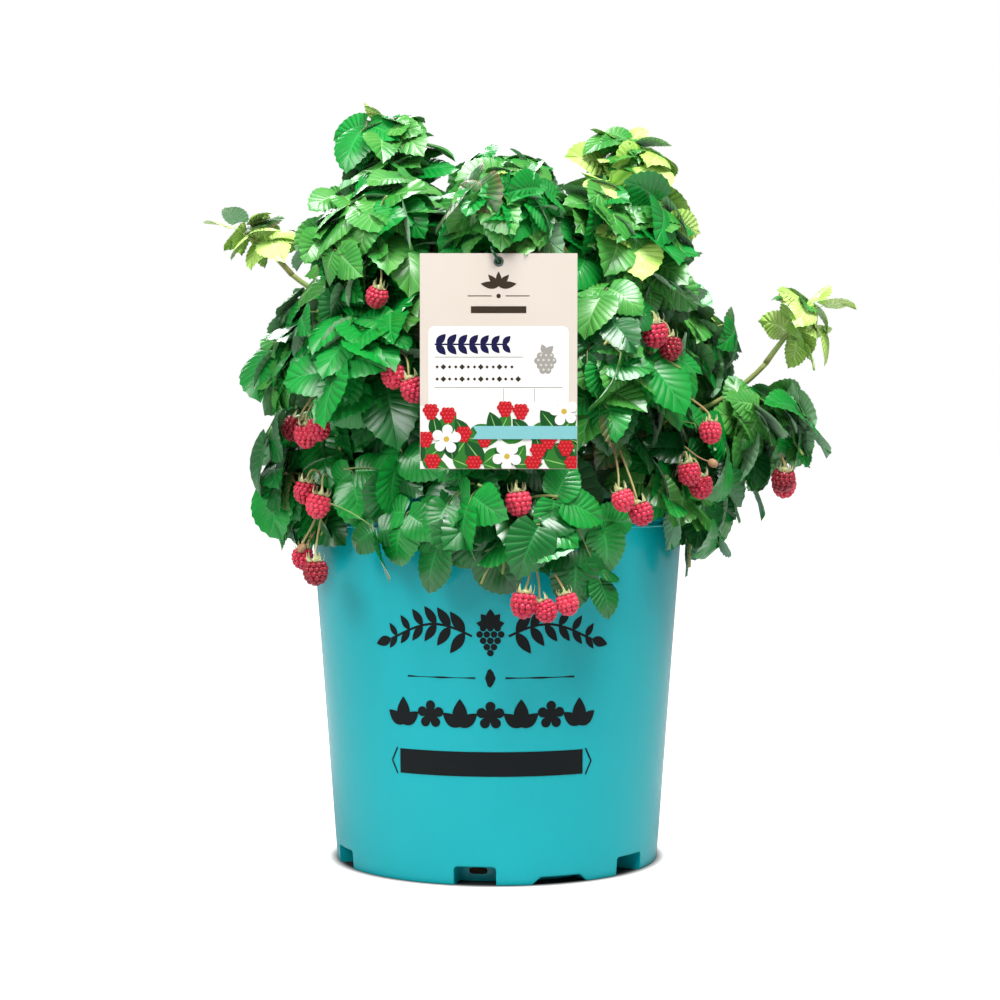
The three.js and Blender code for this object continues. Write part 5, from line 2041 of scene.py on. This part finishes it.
@dataclass
class Label:
    """The hanging label: a card with an eyelet, a plain printed border design, and the loop tie.

    Attributes:
        growth: the bush, which has the tie's route.
        margin: how far the print stays inside the card's edge.
        panel: the white panel's half width, foot, top and corner radius.
        crest: the height from which the crest's leaves spread.
        crest_leaves: their turns in degrees and their lengths.
        border: the height of the border of fruit and flowers.
        fruits: the border's berries, from its lower left corner.
        flowers: its flowers and their turns in radians.
        banner: the teal banner's left end, foot and top.
    """

    growth: Growth
    margin: float = 0.3
    panel: tuple[float, ...] = (40.5, 286, 335, 3.5)
    crest: float = 358.0
    crest_leaves: tuple[tuple[float, ...], ...] = ((90.0, 48, 132, 8, 172), (8.5, 9, 9, 10.5, 10.5))
    border: float = 289.0
    fruits: tuple[tuple[float, float], ...] = (
        (6, 33), (16, 31), (49, 34.5), (58, 33), (3, 17), (25, 20), (37, 17),
        (74, 16), (84, 12), (7, 4), (31, 3), (68, 10), (65, 3), (88, 3),
    )
    flowers: tuple[tuple[float, float, float], ...] = ((15, 17, 0.2), (50, 7, 0.9), (83, 33, 0.5))
    banner: tuple[float, float, float] = (-15, 269.8, 277.4)

    INKS: ClassVar[dict[str, str]] = {
        "white": "#d8d6d2", "grey": "#8f8c86", "brown": "#33291f", "green": "#2a6a26",
        "dark_green": "#15491f", "red": "#a8141e", "pale_red": "#c23a3e", "yellow": "#b39a3c",
        "pale_teal": "#72acb0", "navy": "#12123c", "pale_grey": "#b9b6af", "pale_green": "#7fae62",
    }

    @staticmethod
    def on_card(x: Array, z: Array, lift: Array) -> Array:
        """Points at x and z on the card's front, standing off it by a lift."""
        return np.stack([x, CARD_FRONT - CARD_THICK / 2 - lift, z], -1)

    def design(self) -> Print:
        """The print: a sprig between rules, a white panel with thin rules, and a border of fruit and flowers.

        Returns:
            The print, laid in order from the first ink to the last.
        """
        number = {name: i for i, name in enumerate(self.INKS)}
        laid = Print(self.on_card, [ink(name, colour) for name, colour in self.INKS.items()])
        x0, low = CARD_MIDDLE, CARD_LOW + self.margin
        reach = CARD_WIDTH / 2
        left, right = x0 - reach + self.margin, x0 + reach - self.margin

        def lay(name: str, outline: Array, places: Array, spins: Array = 0.0, scales: Array = 1.0) -> None:
            """Lays copies of an outline, kept inside the border.

            Args:
                name: the ink.
                outline: its corners.
                places: where the copies are.
                spins: their turns in radians.
                scales: their scales.
            """
            copies = placed(outline, places, spins, scales)
            kept = copies[(copies[..., 0] < right).sum(1) > 2]
            laid.add(np.clip(kept, [left, low], [right, CARD_TOP]), number[name])

        def block(name: str, *sizes: float) -> None:
            """Lays a rectangle: left and right from the card's middle, foot, top and corner radius."""
            laid.add(box(x0 + sizes[0], x0 + sizes[1], *sizes[2:])[None], number[name])

        half, foot, top, corner = self.panel
        block("white", -half, half, foot, top, corner)
        laid.add(box(left, right, low, self.border)[None], number["white"])
        turns, lengths = self.crest_leaves
        lay("brown", lens(wide=0.2), [x0, self.crest], np.radians(turns), lengths)
        for side in (-11, 11):
            block("brown", side - 7, side + 7, 352.2, 352.7)
        lay("brown", disc(16), [x0, 352.4], 0.0, 1.3)
        block("brown", -16, 16, 342.5, 346.5)
        self.sprig(lay, block)
        for z, end in ((317.0, 14), (299.5, 37)):
            block("grey", -37, end, z, z + 0.4)
        for x in (2.5, 20.5):
            block("grey", x, x + 0.4, 291.5, 299.0)
        self.fruit(lay, "grey", "pale_grey", np.array([x0 + 27.0, 314.0]), 1.5)
        lay("grey", lens(wide=0.3), [x0 + 27.0, 319.0], np.radians([45, 110.0]), [6.5, 6.0])
        self.leaves(lay, left, low)
        for x, z in self.fruits:
            self.fruit(lay, "red", "pale_red", np.array([left + x, low + z]), 1.12)
        for x, z, spin in self.flowers:
            lay("white", petals(), [left + x, low + z], spin, 8.5)
            lay("yellow", disc(12), [left + x, low + z], 0.0, 1.7)
        start, foot, top = self.banner
        notch = [x0 + start + 2.5, foot + (top - foot) / 2]
        banner = [[x0 + start, foot], [right, foot], [right, top], [x0 + start, top], notch]
        laid.add(np.array([banner]), number["pale_teal"])
        return laid

    @staticmethod
    def sprig(lay: Callable[..., None], block: Callable[..., None]) -> None:
        """The panel's upper part: a navy sprig of seven pairs of leaves, and two rows of diamonds.

        Args:
            lay: lays copies of an outline.
            block: lays a rectangle.
        """
        along = np.arange(7)
        spot = np.stack([CARD_MIDDLE - 36 + 6.4 * along, 324.5 + 0 * along], 1)
        block("navy", -37, 5, 324.0, 325.0)
        for way in (-1, 1):
            lay("navy", lens(wide=0.27), spot, np.radians(way * 48.0), 8.2 - 0.25 * along)
        for z, count in ((311.5, 13), (304.5, 14)):
            place = np.stack([CARD_MIDDLE - 35.5 + 3.6 * np.arange(count), np.full(count, z)], 1)
            lay("brown", disc(4), place, 0.0, np.where(np.arange(count) % 3 == 1, 1.7, 1.05))

    @staticmethod
    def leaves(lay: Callable[..., None], left: float, low: float) -> None:
        """The border's leaves: eleven tufts of three, drawn at random, each leaf with a pale midrib.

        Args:
            lay: lays copies of an outline.
            left: the print's left edge.
            low: its foot.
        """
        rng = np.random.default_rng(6)
        for i in range(11):
            base = [left + 1 + i * 8.8, low + 4 + 15 * (i % 2) + rng.uniform(-2, 2)]
            turn = np.radians([rng.uniform(20, 65), rng.uniform(95, 150), rng.uniform(-30, 5)])
            for spin, name in zip(turn, ("green", "dark_green", "green")):
                long = rng.uniform(13, 18)
                lay(name, lens(wide=0.3), base, spin, long)
                lay("pale_green", lens(wide=0.02), base, spin, long * 0.92)

    @staticmethod
    def fruit(lay: Callable[..., None], name: str, light: str, place: Array, size: float) -> None:
        """Lays a printed berry: rows of dots, each with a small pale one.

        Args:
            lay: lays copies of an outline.
            name: the ink.
            light: the ink of the pale dots.
            place: its middle.
            size: its scale.
        """
        rows = [(2.6, (-1, 0, 1)), (0.7, (-1.5, -0.5, 0.5, 1.5)), (-1.2, (-1, 0, 1)), (-3.0, (-0.5, 0.5))]
        dots = place + size * np.array([(2.0 * k, up) for up, row in rows for k in row])
        lay(name, disc(10), dots, 0.0, 1.35 * size)
        lay(light, disc(8), dots + size * 0.3, 0.0, 0.5 * size)

    def card(self) -> Surface:
        """The card: rays from the eyelet's hole to the card's edge, on the front and on the back.

        Returns:
            Its surface.
        """
        x0, z0 = CARD_MIDDLE, CARD_TOP - EYELET_DROP
        left, right = x0 - CARD_WIDTH / 2, x0 + CARD_WIDTH / 2
        corners = [math.atan2(z - z0, x - x0) for x in (left, right) for z in (CARD_LOW, CARD_TOP)]
        turn = np.sort(np.concatenate([np.linspace(-math.pi, math.pi, 60, endpoint=False) + 0.013, corners]))
        c, s = np.cos(turn), np.sin(turn)
        wide = np.where(c > 0, right - x0, x0 - left) / np.maximum(np.abs(c), 1e-9)
        tall = np.where(s > 0, CARD_TOP - z0, z0 - CARD_LOW) / np.maximum(np.abs(s), 1e-9)
        far, hole = np.minimum(wide, tall), np.full(len(turn), EYELET_HOLE)
        half, round_off = CARD_THICK / 2, 0.15
        front = [(hole, half), (far * 0.5, half), (far - round_off, half), (far, half - round_off)]
        back = [(far, half - round_off), (far - round_off, half), (hole, half)]
        rings = [(r, -depth) for r, depth in front] + back
        rows = [np.stack([x0 + r * c, CARD_FRONT + d + 0 * r, z0 + r * s], -1) for r, d in rings[::-1]]
        return grid(np.stack(rows), wrap_rows=True, wrap_columns=True)

    def eyelet(self) -> Surface:
        """The eyelet: a flat ring with rounded edges round the hole, standing off both faces.

        Returns:
            Its surface.
        """
        turn = np.linspace(0, 2 * math.pi, 40, endpoint=False)
        section = np.linspace(0, 2 * math.pi, 12, endpoint=False)
        r, d = 2.35 + 0.75 * np.cos(section), 0.68 * np.sin(section)
        x = CARD_MIDDLE + r[:, None] * np.cos(turn)
        z = CARD_TOP - EYELET_DROP + r[:, None] * np.sin(turn)
        points = np.stack([x, CARD_FRONT + np.repeat(d[:, None], len(turn), 1), z], -1)
        return grid(points[::-1], wrap_rows=True, wrap_columns=True)

    def build(self) -> None:
        """Makes the card, its print, the eyelet and the tie."""
        card = self.card().piece("card", [CARD_FINISH.make()], "card", ["label_card"])
        card.data.set_sharp_from_angle(angle=math.radians(40))
        self.eyelet().piece("eyelet", [EYELET_FINISH.make()], "card")
        self.design().piece("card_print", "card")
        loop = self.growth.tie[None]
        closed = np.concatenate([loop, loop[:, :2]], 1)
        ring = tubes(closed, np.full(closed.shape[:2], 1.15), 10, 0.62)
        ring.piece("tie", [TIE_FINISH.make()], "tie", ["label_tie"])


@dataclass
class PotPrint:
    """A plain one-colour print on the pot's front: a garland, rules, a row of flowers and leaves, a bar."""

    pot: Pot
    middle: float = -4.0
    garland: float = 152.0
    rules: float = 126.8
    row: float = 97.0
    bar: tuple[float, float, float] = (67.0, 82.0, 58.0)

    def on_wall(self, x: Array, z: Array, lift: Array) -> Array:
        """Points at x round the wall and z up it, standing off it by a lift."""
        radius = self.pot.wall_radius(z) + lift
        return around(np.degrees(x / radius), radius, z)

    def build(self) -> None:
        """Makes the print."""
        laid = Print(self.on_wall, [ink("black", "#0c1214")], 0.16)
        x0, (foot, top, half) = self.middle, self.bar
        for side in (-1, 1):
            self.side(laid, x0, side)
        rows = [(-1, 0, 1), (-1.5, -0.5, 0.5, 1.5), (-1, 0, 1), (-0.5, 0.5), (0,)]
        heights = [self.garland - 1 + up for up in (6, 2.2, -1.6, -5.4, -9)]
        dots = np.array([(x0 + 4.3 * k, z) for z, row in zip(heights, rows) for k in row])
        laid.add(placed(disc(20), dots, 0.0, 2.0))
        crown = np.radians([10, 50, 90, 130, 170.0])
        laid.add(placed(lens(wide=0.3), [x0, self.garland + 6.5], crown, [8.5, 9, 10, 9, 8.5]))
        laid.add(placed(lens(8, 0.9), [x0 - 3.2, self.rules], 0.0, 6.4))
        for i in range(7):
            x = x0 + (i - 3) * 18.5
            if i % 2:
                laid.add(placed(petals(), [x, self.row + 7], 0.31, 8.6))
            else:
                turns = np.radians([90, 38, 142.0])
                laid.add(placed(lens(wide=0.27), [x, self.row], turns, [17.0, 13.5, 13.5]))
        cuts = np.linspace(x0 - half, x0 + half, 15)
        laid.add(np.stack([box(a, b, foot, top) for a, b in zip(cuts, cuts[1:])]))
        laid.piece("pot_print", "pot")

    def side(self, laid: Print, x0: float, side: int) -> None:
        """What stands on each side: a leafy sprig, a thin rule, and the mark at the bar's end.

        Args:
            laid: the print.
            x0: its middle.
            side: -1 or 1.
        """
        out = 0 if side > 0 else math.pi
        steps = np.linspace(0, 1, 13)
        x = x0 + side * (11 + 53 * steps)
        sprig = np.stack([x, self.garland + 7 * np.sin(steps * math.pi * 1.15)], 1)
        laid.add(ribbon(sprig, 0.7))
        for lift in (-1, 1):
            spin = out + side * lift * 0.95
            laid.add(placed(lens(wide=0.21), sprig[1:12:2], spin, np.linspace(15.5, 9.5, 6)))
        laid.add(placed(lens(wide=0.26), sprig[-1], out - side * 0.3, 12.0))
        laid.add(ribbon(np.array([[x0 + side * k, self.rules] for k in (9, 30, 52)]), 0.55))
        foot, top, half = self.bar
        middle = (foot + top) / 2
        for level in (-8, 8):
            ends = [[x0 + side * (half + 2), middle + level], [x0 + side * (half + 6), middle]]
            laid.add(ribbon(np.array(ends), 0.5))


# ---------------------------------------------------------------- floor, light and camera


@dataclass
class Studio:
    """A plain pale floor under soft light, and the camera.

    Attributes:
        eye: where the camera is.
        aim: what it looks at.
        lens: its focal length.
        sky: how bright the surroundings light the plant.
        glints: how bright they are in its gloss.
        key: watts of the light above the front.
        fill: watts of the one at the left.
        rear: watts of the one behind.
        floor_half: half the floor's width.
    """

    eye: tuple[float, float, float] = (0.0, -1460.0, 278.0)
    aim: tuple[float, float, float] = (1.9, 0.0, 229.6)
    lens: float = 81.5
    sky: float = 0.38
    glints: float = 0.17
    key: float = 62.0
    fill: float = 17.0
    rear: float = 16.0
    floor_half: float = 9000.0

    def board(self) -> bpy.types.Material:
        """Matt pale board: it glows to the eye, and a painted contact shadow, a near-black base colour with
        no glow, darkens it where the pot stands.

        Returns:
            The material.
        """
        material = Finish("board_matt_pale", "#c6c6c6", "#c2c2c2", 400, 0.3, 0.9).make()
        tree = material.node_tree
        shader = tree.nodes["Principled BSDF"]
        place = add(tree, "ShaderNodeTexCoord").outputs["Object"]
        far = add(tree, "ShaderNodeVectorMath", {0: place}, operation="LENGTH").outputs["Value"]
        # Painted contact shadow: from 100 to 113 mm off the axis the base colour fades from near black to
        # pale, and the glow from none to full.
        ramp = {"Value": far, "From Min": 0.1, "From Max": 0.113}
        outside_painted_shadow = add(tree, "ShaderNodeMapRange", ramp, interpolation_type="SMOOTHSTEP").outputs["Result"]
        colour = blend(tree, outside_painted_shadow, linear("#181818"), linear("#c6c6c6"))
        tree.links.new(colour, shader.inputs["Base Color"])
        glow = add(tree, "ShaderNodeMath", {0: outside_painted_shadow, 1: 0.88}, operation="MULTIPLY").outputs[0]
        seen = add(tree, "ShaderNodeLightPath").outputs["Is Camera Ray"]
        shown = add(tree, "ShaderNodeMath", {0: glow, 1: seen}, operation="MULTIPLY").outputs[0]
        shader.inputs["Emission Color"].default_value = (1, 1, 1, 1)
        tree.links.new(shown, shader.inputs["Emission Strength"])
        return material

    def floor(self) -> None:
        """A wide flat floor of white board."""
        half = self.floor_half
        points = [(-half, -half, 0), (half, -half, 0), (half, half, 0), (-half, half, 0)]
        mesh = bpy.data.meshes.new("studio_floor")
        mesh.from_pydata((np.array(points) * MM).tolist(), [], [[0, 1, 2, 3]])
        mesh.materials.append(self.board())
        made = bpy.data.objects.new("studio_floor", mesh)
        bpy.context.scene.collection.objects.link(made)

    def light(self, name: str, place: tuple[float, float, float], size: float, power: float) -> None:
        """A square soft light that looks at the middle of the crown.

        Args:
            name: its name.
            place: where it is, in metres.
            size: its width in metres.
            power: its power in watts.
        """
        data = bpy.data.lights.new(name, "AREA")
        data.energy, data.size = power, size
        made = bpy.data.objects.new(name, data)
        bpy.context.scene.collection.objects.link(made)
        made.location = place
        made.rotation_euler = (Vector((0, 0, 0.28)) - made.location).to_track_quat("-Z", "Y").to_euler()

    def build(self) -> None:
        """Makes the floor, the sky, the lights and the camera, and sets a plain display of colours."""
        scene = bpy.context.scene
        self.floor()
        scene.world = self.surroundings()
        self.light("key_soft_box", (0.35, -0.85, 2.0), 0.9, self.key)
        self.light("fill_soft_box", (-1.0, -1.1, 1.2), 0.8, self.fill)
        self.light("rear_soft_box", (-0.5, 1.3, 1.3), 0.8, self.rear)
        data = bpy.data.cameras.new("camera")
        data.lens, data.sensor_width = self.lens, 36.0
        data.clip_end = 100.0
        camera = bpy.data.objects.new("camera", data)
        scene.collection.objects.link(camera)
        camera.location = Vector(self.eye) * MM
        camera.rotation_euler = (Vector(self.aim) * MM - camera.location).to_track_quat("-Z", "Y").to_euler()
        scene.camera = camera
        scene.view_settings.view_transform = "Standard"

    def surroundings(self) -> bpy.types.World:
        """An even white world, dimmer as a light than it looks, and dimmer still in gloss.

        Returns:
            The world.
        """
        world = bpy.data.worlds.new("studio")
        world.use_nodes = True
        tree = world.node_tree
        back = tree.nodes["Background"]
        ray = add(tree, "ShaderNodeLightPath").outputs
        glints = {"Value": ray["Is Glossy Ray"], "To Min": self.sky, "To Max": self.glints}
        level = add(tree, "ShaderNodeMapRange", glints).outputs["Result"]
        seen = {"Value": ray["Is Camera Ray"], "To Min": level, "To Max": 1.0}
        level = add(tree, "ShaderNodeMapRange", seen).outputs["Result"]
        back.inputs["Color"].default_value = (1, 1, 1, 1)
        tree.links.new(level, back.inputs["Strength"])
        return world


def main() -> None:
    """Builds the object and its studio in order."""
    logging.basicConfig(level=logging.INFO, format="%(message)s")
    growth = Growth()
    pot = Pot()
    pot.build()
    PotPrint(pot).build()
    Soil().build()
    Wood(growth).build()
    Foliage(growth).build()
    Fruit(growth).build()
    Label(growth).build()
    Studio().build()
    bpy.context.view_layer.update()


if __name__ == "__main__":
    main()
